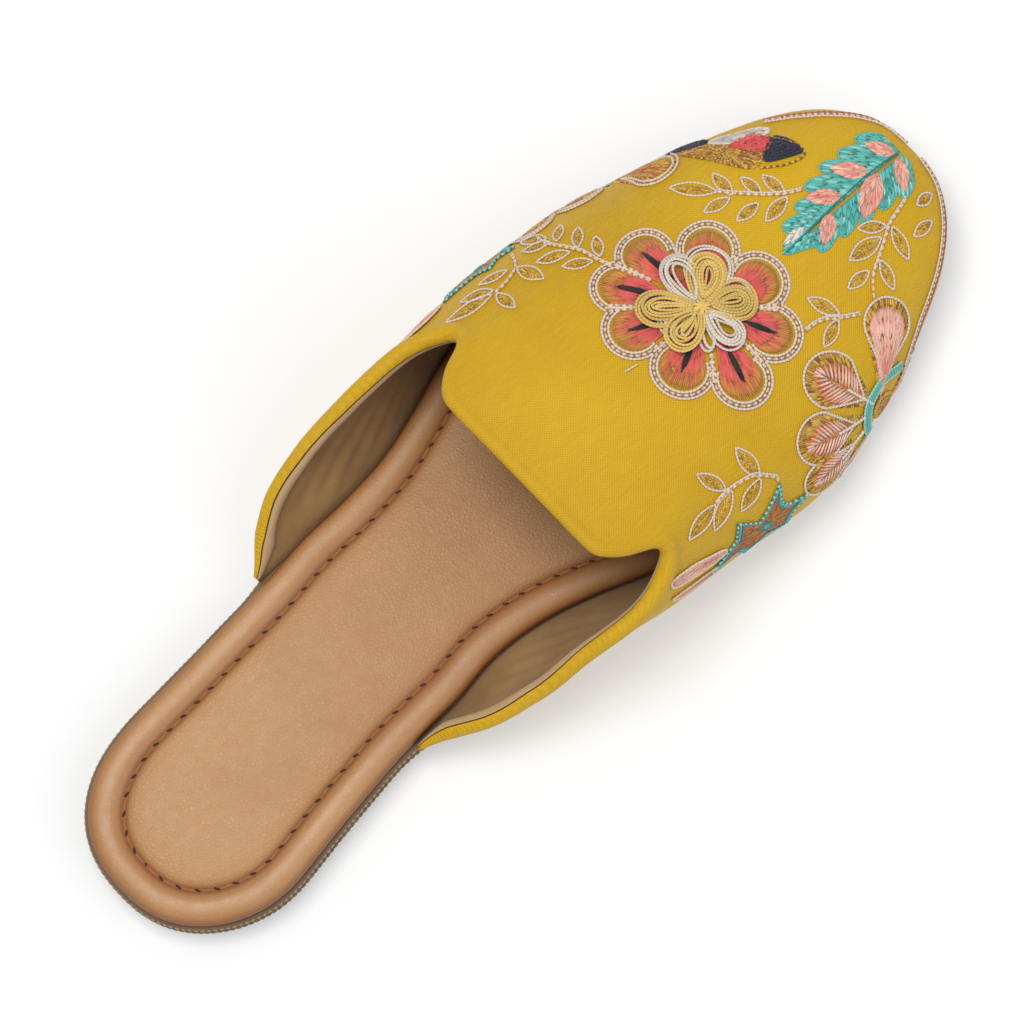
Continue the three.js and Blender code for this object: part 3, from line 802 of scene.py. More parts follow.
footbedLook = {
    'perSide': 330,
    'edgeRows': 6,                 # rows of the edge table that belong to the rolled edge
    'wave': 0.12,                  # height of the soft unevenness of its middle
    'grooveShade': ((1, 0.1, 1), (0.9, 0.25, 0.35), (0.02, 0.14, 0.8)),    # painted shade in the groove and at the border's edges: inset, width, strength
    'stitchPitch': 4.5,
    'threadBar': (3.5, 0.27, 0.12),    # length, radius and height over the groove
    'holeBar': (1.7, 0.36, 0.04),
    'holeLean': 0.35,
    'top': srgb(187, 140, 92),
    'topDark': srgb(175, 127, 80),
    # colour of the painted shade in the groove and at the border's edges
    'groove': srgb(136, 76, 32),
    'vampShade': srgb(122, 80, 44),    # painted shade towards the toe, under the vamp
    'edge': srgb(150, 98, 52),
    'edgeDark': srgb(126, 78, 38),
    'pores': srgb(136, 88, 48),
}

# Edge and border from the underside over the rolled edge to the padded middle: inset as a share
# of the border's width, rise as a share of the thickness
footbedEdge = np.array([
    (0.16, 0), (0.09, 0.07), (0.05, 0.16), (0.015, 0.3), (0, 0.46), (0.012, 0.62), (0.05, 0.76), (0.11, 0.87),
    (0.2, 0.98), (0.33, 1.04), (0.46, 1.07), (0.6, 1.06), (0.73, 1.01), (0.84, 0.92), (0.93, 0.8), (1, 0.7),
    (1.07, 0.78), (1.16, 0.9), (1.3, 0.98), (1.6, 1.03), (2.0, 1.05), (2.4, 1.06), (2.8, 1.06),
])


def evenStations(count):    # stations at even steps round one side of the footbed
    fine = np.linspace(0, 3, 4000)
    x, y = footbedOutline(fine, 1, 0)
    run = np.concatenate([[0], np.cumsum(np.hypot(np.diff(x), np.diff(y)))])
    return np.interp(np.linspace(0, run[-1], count), run, fine)


def roundStations(count):    # lateral side forwards, then the medial side back
    stations = evenStations(count)
    both = np.concatenate([stations, stations[-2:0:-1]])
    sides = np.concatenate([np.ones(count), -np.ones(count - 2)])
    return both, sides


def ladderFaces(count, perSide, first):    # faces across a loop, from side to side
    step = np.arange(perSide - 1)
    across = (count - step) % count
    acrossNext = count - step - 1
    faces = np.stack([step, step + 1, acrossNext, across], 1)
    return faces[1:-1] + first, np.array([[first, first + 1, first + count - 1]]), np.array([[
        first + perSide - 2, first + perSide - 1, first + perSide]])


def loopPiece(name, loops, perSide, materials, faceMaterial, capMaterial, values=None):
    # Loops stacked from the underside to the top, closed across below and above
    levels, count = loops.shape[:2]
    walls = gridFaces(levels, count, closeColumns=True)[:, ::-1]
    caps = []
    for level, flip in ((0, True), (levels - 1, False)):
        quads, heel, toe = ladderFaces(count, perSide, level * count)
        ends = np.concatenate([heel, toe])
        ends = np.concatenate([ends, ends[:, -1:]], 1)
        faces = np.concatenate([quads, ends])
        caps.append(faces[:, ::-1] if flip else faces)
    faces = np.concatenate([walls, *caps])
    capIndex = [np.full(len(cap), material) for cap, material in zip(caps, capMaterial)]
    index = np.concatenate([np.repeat(faceMaterial, count), *capIndex])
    piece = makePiece(name, loops.reshape(-1, 3), faces, materials, index, values)
    closeSeams(piece)
    return piece


def footbedMaterial(name, edgeOnly=False):    # two shades, pores, painted shade in the groove and at the border's edges, painted shade towards the toe under the vamp
    material, tree, shader = startMaterial(name, 0.46, 0.0, 0.5)
    grain = useGroup(tree, grainGroup, Place=objectPlace(tree), Cells=1150.0)
    mottle = useGroup(tree, mottleGroup, Place=objectPlace(tree), Scale=26.0)
    groove = attribute(tree, 'groove')
    border = attribute(tree, 'border')
    look = footbedLook
    light, dark = (look['edge'], look['edgeDark']) if edgeOnly else (look['top'], look['topDark'])
    base = mixColour(tree, spread(tree, mottle['Slow'], 0.35, 0.65), dark, light)
    base = mixColour(tree, spread(tree, grain['Height'], 0.3, 1.3, 0.2, 0.0), base, look['pores'])
    # painted shade in the groove and on the border's falling edges
    base = mixColour(tree, maths(tree, 'MULTIPLY', groove, 0.85), base, look['groove'])
    # painted shade that darkens the footbed towards the toe, under the vamp
    forward = put(tree, 'ShaderNodeSeparateXYZ', None, {0: objectPlace(tree)}).outputs[0]
    base = mixColour(tree, spread(tree, forward, -0.03, 0.03, 0.0, 0.45), base, look['vampShade'])
    feed(tree, shader, 'Base Color', base)
    rough = spread(tree, mottle['Fast'], 0.3, 0.7, 0.46, 0.56)
    feed(tree, shader, 'Roughness', maths(tree, 'SUBTRACT', rough, maths(tree, 'MULTIPLY', border, 0.08)))
    worn = maths(tree, 'SUBTRACT', 1.0, maths(tree, 'MULTIPLY', border, 0.7))
    bumpInto(tree, shader, maths(tree, 'MULTIPLY', grain['Height'], worn), 0.00006)
    return material


def buildFootbed():    # the edge table swept round the outline, with crossed sines in the middle
    look = footbedLook
    stations, sides = roundStations(look['perSide'])
    inset, rise = footbedEdge[:, :1], footbedEdge[:, 1:]
    x, y = footbedOutline(stations[None, :], sides[None, :], -inset * shoe['borderWidth'])
    wave = look['wave'] * np.sin(x / 11) * np.sin(y / 8 + 1) * smoothShare(inset, 1.2, 2.4)
    z = soleTopAt(x) + shoe['clearance'] + rise * shoe['footbedThickness'] + wave
    loops = np.stack([x, y, z], -1)
    rows = np.arange(len(footbedEdge) - 1)
    materials = [footbedMaterial('tan footbed leather'), footbedMaterial('darker rolled edge', True)]
    faceMaterial = np.where(rows < look['edgeRows'], 1, 0)
    # painted shade along the groove and the border's edges
    grooveShade = sum(strength * np.exp(-((inset - place) / width) ** 2)
                  for place, width, strength in look['grooveShade'])
    border = smoothShare(inset, 1.05, 0.9)
    values = {'groove': np.repeat(grooveShade, loops.shape[1], axis=1).ravel(),
              'border': np.repeat(border, loops.shape[1], axis=1).ravel()}
    perSide = look['perSide']
    piece = loopPiece('footbed_leather', loops, perSide, materials, faceMaterial, (1, 0), values)
    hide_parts('footbed')
    print('footbed:', len(piece.data.vertices), 'points')


def buildStitchBars(name, bar, shift, material, lean=0.0):
    # Short rounded bars laid in the groove at even steps, each tapered by a fourth power
    rings, edges = 9, 8
    size, radius, height = bar
    fine = evenStations(3000)
    path = []
    for side, order in ((1, 1), (-1, -1)):
        x, y = footbedOutline(fine, side, -shoe['borderWidth'])
        path.append(np.stack([x, y], 1)[::order])
    path = np.concatenate(path)
    run = np.concatenate([[0], np.cumsum(np.linalg.norm(np.diff(path, axis=0), axis=1))])
    count = int(run[-1] / footbedLook['stitchPitch'])
    middle = (np.arange(count) + shift) * run[-1] / count
    share = np.linspace(-1, 1, rings)
    place = middle[:, None] + share * size / 2
    x = np.interp(place, run, path[:, 0])
    y = np.interp(place, run, path[:, 1])
    groove = footbedEdge[footbedEdge[:, 0] == 1, 1]
    z = soleTopAt(x) + shoe['clearance'] + groove * shoe['footbedThickness']
    z = z + height + 0.1 * (1 - share ** 2)
    line = np.stack([x, y, z], -1)
    ahead = np.gradient(line, axis=1)
    ahead /= np.linalg.norm(ahead, axis=-1, keepdims=True)
    across = np.cross(ahead, [0, 0, 1.0])
    line = line + across * (lean * share)[None, :, None]
    turn = np.linspace(0, 2 * np.pi, edges, endpoint=False)
    thick = radius * np.clip(1 - share ** 4, 0.15, 1)[None, :, None, None]
    ring = across[:, :, None, :] * np.cos(turn)[:, None] + np.array([0, 0, 1.0]) * np.sin(turn)[:, None]
    points = line[:, :, None, :] + ring * thick
    faces = gridFaces(rings, edges, closeColumns=True)
    cap = np.array([[0, 1, 6, 7], [1, 2, 5, 6], [2, 3, 4, 5]])
    faces = np.concatenate([faces, cap[:, ::-1], (rings - 1) * edges + cap])
    faces = (faces[None] + rings * edges * np.arange(count)[:, None, None]).reshape(-1, 4)
    piece = makePiece(name, points.reshape(-1, 3), faces, [material])
    closeSeams(piece, 0.000001)
    print(name + ':', count)


def buildFootbedStitches():    # threads, and half a step on, dark bars that are painted shade in the holes they go down
    surface, scale = (0.7, 0.2, 0.3), 400.0
    tan = mottledMaterial('tan stitching', surface, scale, srgb(140, 88, 44), srgb(176, 122, 72))
    # painted shade: dark bars where the thread goes down into the holes
    dark = mottledMaterial('stitch hole shade', surface, scale, srgb(56, 30, 14), srgb(82, 46, 20))
    buildStitchBars('footbed_stitches', footbedLook['threadBar'], 0.5, tan)
    buildStitchBars('footbed_stitch_hole_shade', footbedLook['holeBar'], 0.0, dark, footbedLook['holeLean'])


buildFootbed()
buildFootbedStitches()


# Outsole

soleLook = {
    'perSide': 940,
    'pitch': 1.5,          # from bump to bump round the side
    'bump': 0.3,
    'waist': (0.3, 0.58),  # where the bumps become slanted ribs, as shares of the length
    'waistBlend': 0.06,
    'slant': 3.0,
    'rowSplit': 0.6,       # rise between the lower and the upper row, which is half a bump on
    'pit': 0.25,           # depth of the pit in a bump's top
    'groovePitch': 0.0045,    # of the tread, in metres
}

# Side from the floor up: rise as a share of the local thickness, inset as a share of the heel's,
# share of the bumps, and material (0 side, 1 lip, 2 lower strip)
soleSide = np.array([
    (0, 0.2, 0, 2), (0.02, 0.13, 0, 2), (0.05, 0.08, 0, 2), (0.12, 0.04, 0, 2), (0.2, 0.036, 0, 2),
    (0.28, 0.035, 0, 2), (0.3, 0.045, 0, 2), (0.325, 0.1, 0, 0), (0.345, 0.075, 0, 0), (0.36, 0.05, 0.15, 0),
    (0.39, 0.03, 0.55, 0), (0.42, 0.012, 0.9, 0), (0.46, 0, 1, 0), (0.5, 0.012, 0.9, 0), (0.53, 0.03, 0.55, 0),
    (0.56, 0.045, 0.15, 0), (0.595, 0.08, 0, 0), (0.63, 0.045, 0.15, 0), (0.66, 0.03, 0.55, 0),
    (0.69, 0.012, 0.9, 0), (0.72, 0, 1, 0), (0.75, 0.012, 0.9, 0), (0.78, 0.03, 0.55, 0), (0.81, 0.05, 0.15, 0),
    (0.845, 0.11, 0, 0), (0.86, 0.06, 0, 1), (0.875, 0.03, 0.3, 1), (0.9, 0.015, 0.6, 1), (0.93, 0.012, 0.7, 1),
    (0.96, 0.02, 0.5, 1), (0.985, 0.035, 0.2, 1), (1, 0.06, 0, 1),
])


def soleMaterial():    # grey-brown rubber with a golden painted highlight, broken by noise, on the bumps' tops
    material, tree, shader = startMaterial('sole side', 0.7, 0.0, 0.35)
    bumps = attribute(tree, 'bump')
    mottle = useGroup(tree, mottleGroup, Place=objectPlace(tree), Scale=150.0)
    base = mixColour(tree, mottle['Slow'], srgb(92, 74, 54), srgb(124, 102, 76))
    # painted highlight on the tops of the bumps
    tipHighlight = maths(tree, 'MULTIPLY', bumps, spread(tree, mottle['Fast'], 0.35, 0.6, 0.35, 1.0))
    base = mixColour(tree, spread(tree, tipHighlight, 0.35, 0.85, 0.0, 0.75), base, srgb(200, 170, 122))
    feed(tree, shader, 'Base Color', base)
    bumpInto(tree, shader, mottle['Fast'], 0.0003)
    return material


def lipMaterial():    # paler where the lip stands out: painted highlight
    material, tree, shader = startMaterial('sole lip', 0.6, 0.0, 0.4)
    mottle = useGroup(tree, mottleGroup, Place=objectPlace(tree), Scale=120.0)
    base = mixColour(tree, mottle['Slow'], srgb(108, 86, 60), srgb(132, 108, 80))
    bumps = attribute(tree, 'bump')
    # painted highlight on the raised parts of the lip
    base = mixColour(tree, spread(tree, bumps, 0.1, 0.5, 0.0, 0.85), base, srgb(194, 160, 114))
    feed(tree, shader, 'Base Color', base)
    bumpInto(tree, shader, mottle['Fast'], 0.00012)
    return material


def stripMaterial():    # plain darker rubber near the floor
    material, tree, shader = startMaterial('lower strip', 0.6, 0.0, 0.4)
    mottle = useGroup(tree, mottleGroup, Place=objectPlace(tree), Scale=90.0)
    base = mixColour(tree, mottle['Slow'], srgb(70, 56, 40), srgb(98, 80, 58))
    feed(tree, shader, 'Base Color', base)
    feed(tree, shader, 'Roughness', spread(tree, mottle['Fast'], 0.3, 0.7, 0.5, 0.7))
    bumpInto(tree, shader, mottle['Fast'], 0.0001)
    return material


def treadMaterial():    # underside: shallow cross grooves, darker in them, over two mottled shades
    material, tree, shader = startMaterial('tread', 0.8, 0.0, 0.3)
    place = objectPlace(tree)
    split = put(tree, 'ShaderNodeSeparateXYZ', None, {0: place}).outputs
    bent = maths(tree, 'ADD', split[0], maths(tree, 'MULTIPLY', maths(tree, 'ABSOLUTE', split[1]), 0.4))
    waves = maths(tree, 'SINE', maths(tree, 'MULTIPLY', bent, 2 * math.pi / soleLook['groovePitch']))
    grooves = spread(tree, waves, -0.2, 0.3)
    mottle = useGroup(tree, mottleGroup, Place=place, Scale=50.0)
    base = mixColour(tree, mottle['Slow'], srgb(66, 52, 38), srgb(96, 80, 60))
    base = mixColour(tree, spread(tree, grooves, 0.0, 1.0, 0.5, 0.0), base, srgb(38, 30, 22))
    feed(tree, shader, 'Base Color', base)
    bumpInto(tree, shader, grooves, 0.0008)
    return material


def buildOutsole():    # the side table swept round the outline, its bumps a cosine of the run
    look = soleLook
    stations, sides = roundStations(look['perSide'])
    x, y = outsoleOutline(stations, sides, 0)
    run = np.concatenate([[0], np.cumsum(np.hypot(np.diff(x), np.diff(y)))])
    whole = run[-1] + np.hypot(x[0] - x[-1], y[0] - y[-1])
    count = round(whole / look['pitch'])
    rise, inset, share = soleSide[:, :1], soleSide[:, 1:2], soleSide[:, 2:3]
    start, end = look['waist']
    along = x / length
    blend, split = look['waistBlend'], look['rowSplit']
    slanted = smoothShare(along, start, start + blend) * smoothShare(along, end + blend, end)
    upperRow = (rise > split).astype(float)
    phase = 2 * np.pi * (count * run / whole + 0.5 * upperRow)
    phase = phase + look['slant'] * slanted * (rise - split) * 6
    wave = 0.5 + 0.5 * np.cos(phase)
    ribs = wave ** 0.7 * share
    pits = look['pit'] * share ** 4 * np.clip(wave - 0.75, 0, 1) * 4 * (1 - slanted)
    bump = ribs - pits
    spreadBy = inset * shoe['heelThickness'] - look['bump'] * bump
    px, py = outsoleOutline(stations[None, :], sides[None, :], spreadBy)
    low, high = soleBottomAt(px), soleTopAt(px)
    loops = np.stack([px, py, low + rise * (high - low)], -1)
    faceMaterial = np.maximum(soleSide[:-1, 3], soleSide[1:, 3]).astype(int)
    materials = [soleMaterial(), lipMaterial(), stripMaterial(), treadMaterial()]
    values = {'bump': bump.ravel()}
    piece = loopPiece('sole_unit', loops, look['perSide'], materials, faceMaterial, (3, 1), values)
    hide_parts('outsole')
    print('outsole:', count, 'bumps a row')


buildOutsole()


# Embroidery, placed in the cloth's own plane in millimetres: u along the shoe, v round the arch

threadLook = {
    'link': 0.95,            # length of one chain link
    'chain': 0.36,           # half width of a chain line
    'step': 0.24,            # distance between points along a chain
    'stitch': 0.27,          # half width of a filling thread
    'pitch': 0.5,            # distance between filling threads
    'flatness': 0.8,         # height of a thread as a share of its width
    'lowest': 0.985,         # share of the way down past which nothing is sewn
}

threads = {
    'cream': (238, 220, 198), 'lilac': (232, 216, 208), 'brown': (178, 118, 80), 'coral': (226, 98, 92),
    'deepPink': (206, 60, 88), 'orange': (210, 128, 68), 'ochre': (198, 150, 46), 'darkOchre': (146, 98, 34),
    'rust': (196, 102, 46), 'black': (34, 28, 30), 'navy': (34, 36, 62), 'teal': (100, 198, 190),
    'paleTeal': (158, 224, 214), 'midTeal': (72, 176, 170), 'darkTeal': (40, 132, 134),
    'coralPink': (234, 140, 124), 'pink': (238, 172, 156), 'palePink': (244, 202, 186),
    'mustard': (222, 184, 72), 'gold': (240, 206, 112), 'darkMustard': (170, 130, 36),
    'white': (240, 231, 218), 'grey': (180, 178, 178), 'red': (222, 70, 80),
}
threadColour = {name: np.array(srgb(*value)[:3]) for name, value in threads.items()}
chance = np.random.default_rng(7)


def evenly(line, step):    # the same line with points at even steps
    run = np.concatenate([[0], np.cumsum(np.linalg.norm(np.diff(line, axis=0), axis=1))])
    at = np.linspace(0, run[-1], max(3, round(run[-1] / step) + 1))
    return np.stack([np.interp(at, run, line[:, k]) for k in (0, 1)], 1)


def smoothLine(points, closed=False):    # cubic through the points, then even steps
    p = np.array(points, float)
    if closed:
        p = np.concatenate([p[-1:], p, p[:2]])
    else:
        p = np.concatenate([2 * p[:1] - p[1:2], p, 2 * p[-1:] - p[-2:-1]])
    a, b, c, d = (p[k:len(p) - 3 + k, None, :] for k in range(4))
    t = np.linspace(0, 1, 13)[:-1, None]
    line = b + (c - a) * t / 2 + (2 * a - 5 * b + 4 * c - d) * t ** 2 / 2
    line = line + (3 * b - a - 3 * c + d) * t ** 3 / 2
    return evenly(np.concatenate([line.reshape(-1, 2), p[-2:-1]]), threadLook['step'])


def chain(line, tint='cream', width=1.0, lift=0.25, dots=None, dotPitch=1.5):
    # Chain stitch: a rope whose width swells with each link, with painted shade where the links narrow, its
    # colour broken by dots if asked
    run = np.concatenate([[0], np.cumsum(np.linalg.norm(np.diff(line, axis=0), axis=1))])
    swell = np.abs(np.sin(np.pi * run / threadLook['link']))
    thick = threadLook['chain'] * width * (0.66 + 0.34 * swell)
    # painted shade: darker where the links narrow and meet
    colour = threadColour[tint] * (0.72 + 0.28 * swell)[:, None]
    if dots:
        share = smoothShare(np.sin(2 * np.pi * run / dotPitch + 1), 0.0, 0.5)[:, None]
        colour = colour * (1 - share) + threadColour[dots] * share
    return line[None], thick[None], np.full((1, len(line)), lift), colour[None]


def layStitches(start, end, radius, lift, share, gradient, mixed, points=4):
    # Straight stitches from start to end, tapered at both ends, each with its own shade
    t = np.linspace(0, 1, points)
    line = start[:, None] + (end - start)[:, None] * t[:, None]
    thick = radius * np.clip(1.25 - 1.1 * np.abs(2 * t - 1) ** 3, 0.35, 1) * np.ones((len(line), 1))
    raised = lift[:, None] + 0.12 * (1 - (2 * t - 1) ** 2)
    colours = np.array([threadColour[name] for name in gradient])
    if mixed:
        tint = np.repeat(colours[chance.integers(0, len(colours), len(line))][:, None], points, axis=1)
    else:
        place = np.linspace(0, 1, len(colours))
        at = share[0][:, None] + (share[1] - share[0])[:, None] * t + chance.normal(0, 0.07, (len(line), 1))
        tint = np.stack([np.interp(at, place, colours[:, k]) for k in range(3)], -1)
    tint = tint * chance.uniform(0.82, 1.14, (len(line), 1, 1))
    return line, thick, raised, tint


def fan(outline, focus, gradient, rows=3, lift=0.1, swell=0.25, mixed=False, pitch=None, radius=None):
    # Long-and-short stitches from a focus out to a closed outline, in rows that run into each other
    edge = evenly(outline, pitch or threadLook['pitch'])[:-1]
    focus = np.array(focus, float)
    items = []
    for row in range(rows):
        sparse = edge[::max(1, round(rows / (row + 1)))]
        count = len(sparse)
        first = np.clip(row / rows + chance.uniform(-0.1, 0.06, count), 0.03, 1)
        last = np.clip((row + 1) / rows + chance.uniform(-0.02, 0.1, count), 0, 1)
        last = np.ones(count) if row == rows - 1 else last
        middle = (first + last) / 2
        raised = lift + swell * (1 - middle ** 2) + chance.uniform(-0.05, 0.05, count)
        start, end = focus + (sparse - focus) * first[:, None], focus + (sparse - focus) * last[:, None]
        wide = radius or threadLook['stitch']
        items.append(layStitches(start, end, wide, raised, (first, last), gradient, mixed))
    return items


def leafLine(base, tip, half, fullest=0.45):
    # Pointed oval from base to tip: half width follows a skewed sine
    base, tip = np.array(base, float), np.array(tip, float)
    axis = tip - base
    aside = np.array([-axis[1], axis[0]]) / np.linalg.norm(axis)
    t = np.linspace(0, 1, 28)
    wide = half * np.sin(np.pi * t ** (math.log(0.5) / math.log(fullest))) ** 0.85
    spine = base + axis * t[:, None]
    return np.concatenate([spine + aside * wide[:, None], (spine - aside * wide[:, None])[-2::-1]])


def threadShells(items, ring):
    # Rings round every thread's line on the cloth, joined only along the same thread
    flat = [[part.reshape(-1, *part.shape[2:]) for part in item] for item in items]
    line, thick, lift, tint = (np.concatenate([item[k] for item in flat]) for k in range(4))
    lengths = np.concatenate([np.full(item[0].shape[0], item[0].shape[1]) for item in items])
    thread = np.repeat(np.arange(len(lengths)), lengths)
    inside = shareDown(line[:, 0], line[:, 1]) < threadLook['lowest']
    linked = (thread[1:] == thread[:-1]) & inside[1:] & inside[:-1]
    before, after = np.concatenate([[False], linked]), np.concatenate([linked, [False]])
    used = before | after
    line, thick, lift, tint, before, after = (a[used] for a in (line, thick, lift, tint, before, after))
    points, normal = clothSurface(line[:, 0], line[:, 1], lift)
    linked = after[:-1]
    step = np.where(linked[:, None], np.diff(points, axis=0), 0)
    along = np.zeros_like(points)
    along[:-1] += step
    along[1:] += step
    along /= np.linalg.norm(along, axis=1, keepdims=True) + 1e-9
    across = np.cross(normal, along)
    turn = np.linspace(0, 2 * np.pi, ring, endpoint=False)
    cosine, sine = np.cos(turn)[None, :, None], threadLook['flatness'] * np.sin(turn)[None, :, None]
    rings = points[:, None] + (across[:, None] * cosine + normal[:, None] * sine) * thick[:, None, None]
    first = np.flatnonzero(after)[:, None]
    j = np.arange(ring)
    corners = [first * ring + j, first * ring + (j + 1) % ring]
    corners += [corners[1] + ring, corners[0] + ring]
    faces = np.stack([c.ravel() for c in corners], 1)
    cap = np.array([[0, k, k + 1, k + 2] for k in range(1, ring - 1, 2)])
    starts, ends = np.flatnonzero(~before), np.flatnonzero(~after)
    faces = np.concatenate([
        faces,
        (starts[:, None, None] * ring + cap[None, :, ::-1]).reshape(-1, 4),
        (ends[:, None, None] * ring + cap[None]).reshape(-1, 4),
    ])
    return rings.reshape(-1, 3), faces, np.repeat(tint, ring, axis=0)


def sew(name, items, ring=6, material=None):
    # Chains and cords, one to an item, are rounder than the short stitches, many to an item
    single = [item for item in items if len(item[0]) == 1]
    many = [item for item in items if len(item[0]) > 1]
    shells = [threadShells(group, sides) for group, sides in ((single, ring), (many, 4)) if group]
    first = np.cumsum([0] + [len(points) for points, faces, colours in shells])
    points = np.concatenate([shell[0] for shell in shells])
    faces = np.concatenate([shell[1] + start for shell, start in zip(shells, first)])
    colours = np.clip(np.concatenate([shell[2] for shell in shells]), 0, 1)
    piece = makePiece(name, points, faces, [material or threadMaterial], colours=colours)
    print(name + ':', 2 * len(faces), 'triangles')


def makeThreadMaterial(name, roughness, sheen):    # each stitch's own colour, with fine darker flecks
    material, tree, shader = startMaterial(name, roughness, sheen, 0.35)
    shader.inputs['Sheen Roughness'].default_value = 0.45
    tint = attribute(tree, 'tint', 'Color')
    mottle = useGroup(tree, mottleGroup, Place=objectPlace(tree), Scale=220.0)
    darker = mixColour(tree, 1.0, tint, (0.84, 0.79, 0.74, 1.0), 'MULTIPLY')
    base = mixColour(tree, spread(tree, mottle['Fast'], 0.35, 0.65), darker, tint)
    rough = spread(tree, mottle['Slow'], 0.3, 0.7, roughness - 0.08, roughness + 0.08)
    feed(tree, shader, 'Base Color', base)
    feed(tree, shader, 'Roughness', rough)
    bumpInto(tree, shader, mottle['Fast'], 0.0001)
    return material


threadMaterial = makeThreadMaterial('embroidery thread', 0.55, 0.3)
cordMaterial = makeThreadMaterial('soft cotton cord', 0.65, 0.4)

# Flower: round petals about a hub, each with its centre and the radius of its outer chain line
flower = {
    'hub': (188, 2.6),
    'petals': [
        ((201, -0.6), 7.2), ((195, -11.2), 7.0), ((182, -14.6), 7.0), ((173.5, -4.2), 7.2),
        ((171.5, 9.6), 7.0), ((176.5, 19.2), 6.7), ((186.5, 21.2), 6.9), ((198, 12.4), 7.2),
    ],
    'fillInset': 2.1,
    'bands': ((0.0, 'lilac', None), (0.75, 'cream', 'brown'), (1.5, 'cream', None)),
    'veined': (1, 2, 3, 4, 5, 6),
    'fill': ('deepPink', 'deepPink', 'deepPink', 'coral', 'coral', 'coral', 'orange', 'ochre'),
    'looseEnd': ((166.5, 3.0), (163.2, 3.6)),
}


def circleLine(centre, radius, heading, halfTurn):    # an arc to both sides of a heading
    turn = np.radians(np.linspace(-halfTurn, halfTurn, 90)) + heading
    return np.array(centre) + radius * np.stack([np.cos(turn), np.sin(turn)], 1)


def splitRuns(line, keep):    # the parts of a line that are kept
    edges = np.flatnonzero(np.diff(np.concatenate([[0], keep.astype(int), [0]])))
    return [line[a:b] for a, b in zip(edges[::2], edges[1::2]) if b - a > 3]


def makeFlower():
    # Petals filled from the hub outwards, with bars, rims cut off where the next petal begins, and
    # dividers between them
    hub = np.array(flower['hub'])
    petals = [(np.array(centre, float), radius) for centre, radius in flower['petals']]
    items = []
    for number, (centre, radius) in enumerate(petals):
        axis = centre - hub
        heading = math.atan2(axis[1], axis[0])
        inner = radius - flower['fillInset']
        foot = hub + 0.2 * axis
        outline = np.concatenate([foot[None], circleLine(centre, inner, heading, 112), foot[None]])
        items += fan(outline, hub + 0.3 * axis, flower['fill'], rows=4)
        if number in flower['veined']:
            items.append(layVein(hub + 0.5 * axis, centre + 0.06 * axis))
        for offset, tint, dots in flower['bands']:
            line = circleLine(centre, radius - offset, heading, 128)
            others = [(c, r - offset) for k, (c, r) in enumerate(petals) if k != number]
            keep = np.all([np.linalg.norm(line - c, axis=1) > r for c, r in others], axis=0)
            for run in splitRuns(line, keep):
                items.append(chain(evenly(run, threadLook['step']), tint, dots=dots, lift=0.4))
        items += makeDivider(hub, petals[number], petals[(number + 1) % len(petals)])
    start, end = (np.array(p) for p in flower['looseEnd'])
    items.append(chain(evenly(np.stack([start, end]), threadLook['step']), 'cream', 0.7, 0.5))
    return items


def layVein(start, end):    # a blunt bar of black stitches, a little shorter towards its sides
    aside = np.array([-(end - start)[1], (end - start)[0]]) / np.linalg.norm(end - start)
    share = np.linspace(-1, 1, 5)[:, None]
    starts = start + share * 0.45 * aside + (end - start) * 0.25 * share ** 2
    shorter = 0.12 * share ** 2 + chance.uniform(-0.03, 0.05, (5, 1))
    ends = end + share * 0.42 * aside - (end - start) * shorter
    shares = (np.zeros(5), np.ones(5))
    return layStitches(starts, ends, 0.3, np.full(5, 0.62), shares, ('black', 'black'), False)


def makeDivider(hub, petal, other):    # speckled cream wedge between two petals, from the notch inwards
    (a, ra), (b, rb) = petal, other
    apart = np.linalg.norm(b - a)
    middle = a + (b - a) * (ra ** 2 - rb ** 2 + apart ** 2) / (2 * apart ** 2)
    outwards = (middle - hub) / np.linalg.norm(middle - hub)
    aside = np.array([-outwards[1], outwards[0]])
    notch = middle + outwards * math.sqrt(max(0.1, ra ** 2 - np.sum((middle - a) ** 2))) * 0.95
    items = []
    for offset, tint, dots in ((-0.75, 'cream', 'brown'), (0.0, 'cream', None), (0.75, 'cream', 'brown')):
        foot = hub + (notch - hub) * 0.6 + aside * offset * 0.2
        line = evenly(np.stack([foot, notch + aside * offset]), threadLook['step'])
        items.append(chain(line, tint, lift=0.42, dots=dots))
    return items


# Rosette of looped cords over the flower's middle: far end, half width, rounds, colour, height
rosette = {
    'hub': (186.4, 3.2),
    'cord': 0.36,    # half width
    'step': 0.3,
    'ties': (0.5, 0.9, 1.5, 2.1, 2.7, 3.0),    # directions of the tight cords across the middle
    'tieReach': 2.0,
    'loops': [
        ((199.2, 12.3), 5.8, 2, 'white', 0.7), ((198.8, -1.5), 4.8, 2, 'white', 0.7),
        ((197.6, 11.1), 5.0, 7, 'gold', 1.2), ((197.8, -3.5), 4.9, 7, 'gold', 1.3),
        ((187.0, -9.2), 4.0, 5, 'white', 1.4), ((180.3, -5.6), 2.2, 2, 'white', 1.0),
        ((189.6, 17.3), 4.9, 5, 'white', 1.0), ((175.6, 6.0), 4.0, 3, 'white', 0.8),
        ((173.9, 0.6), 4.6, 7, 'gold', 1.7), ((174.5, 12.7), 4.7, 7, 'gold', 1.4),
    ],
    'holes': [((188.2, 10.6), (189.0, 14.4), 1.2), ((186.6, -4.2), (186.8, -7.0), 0.7)],
}


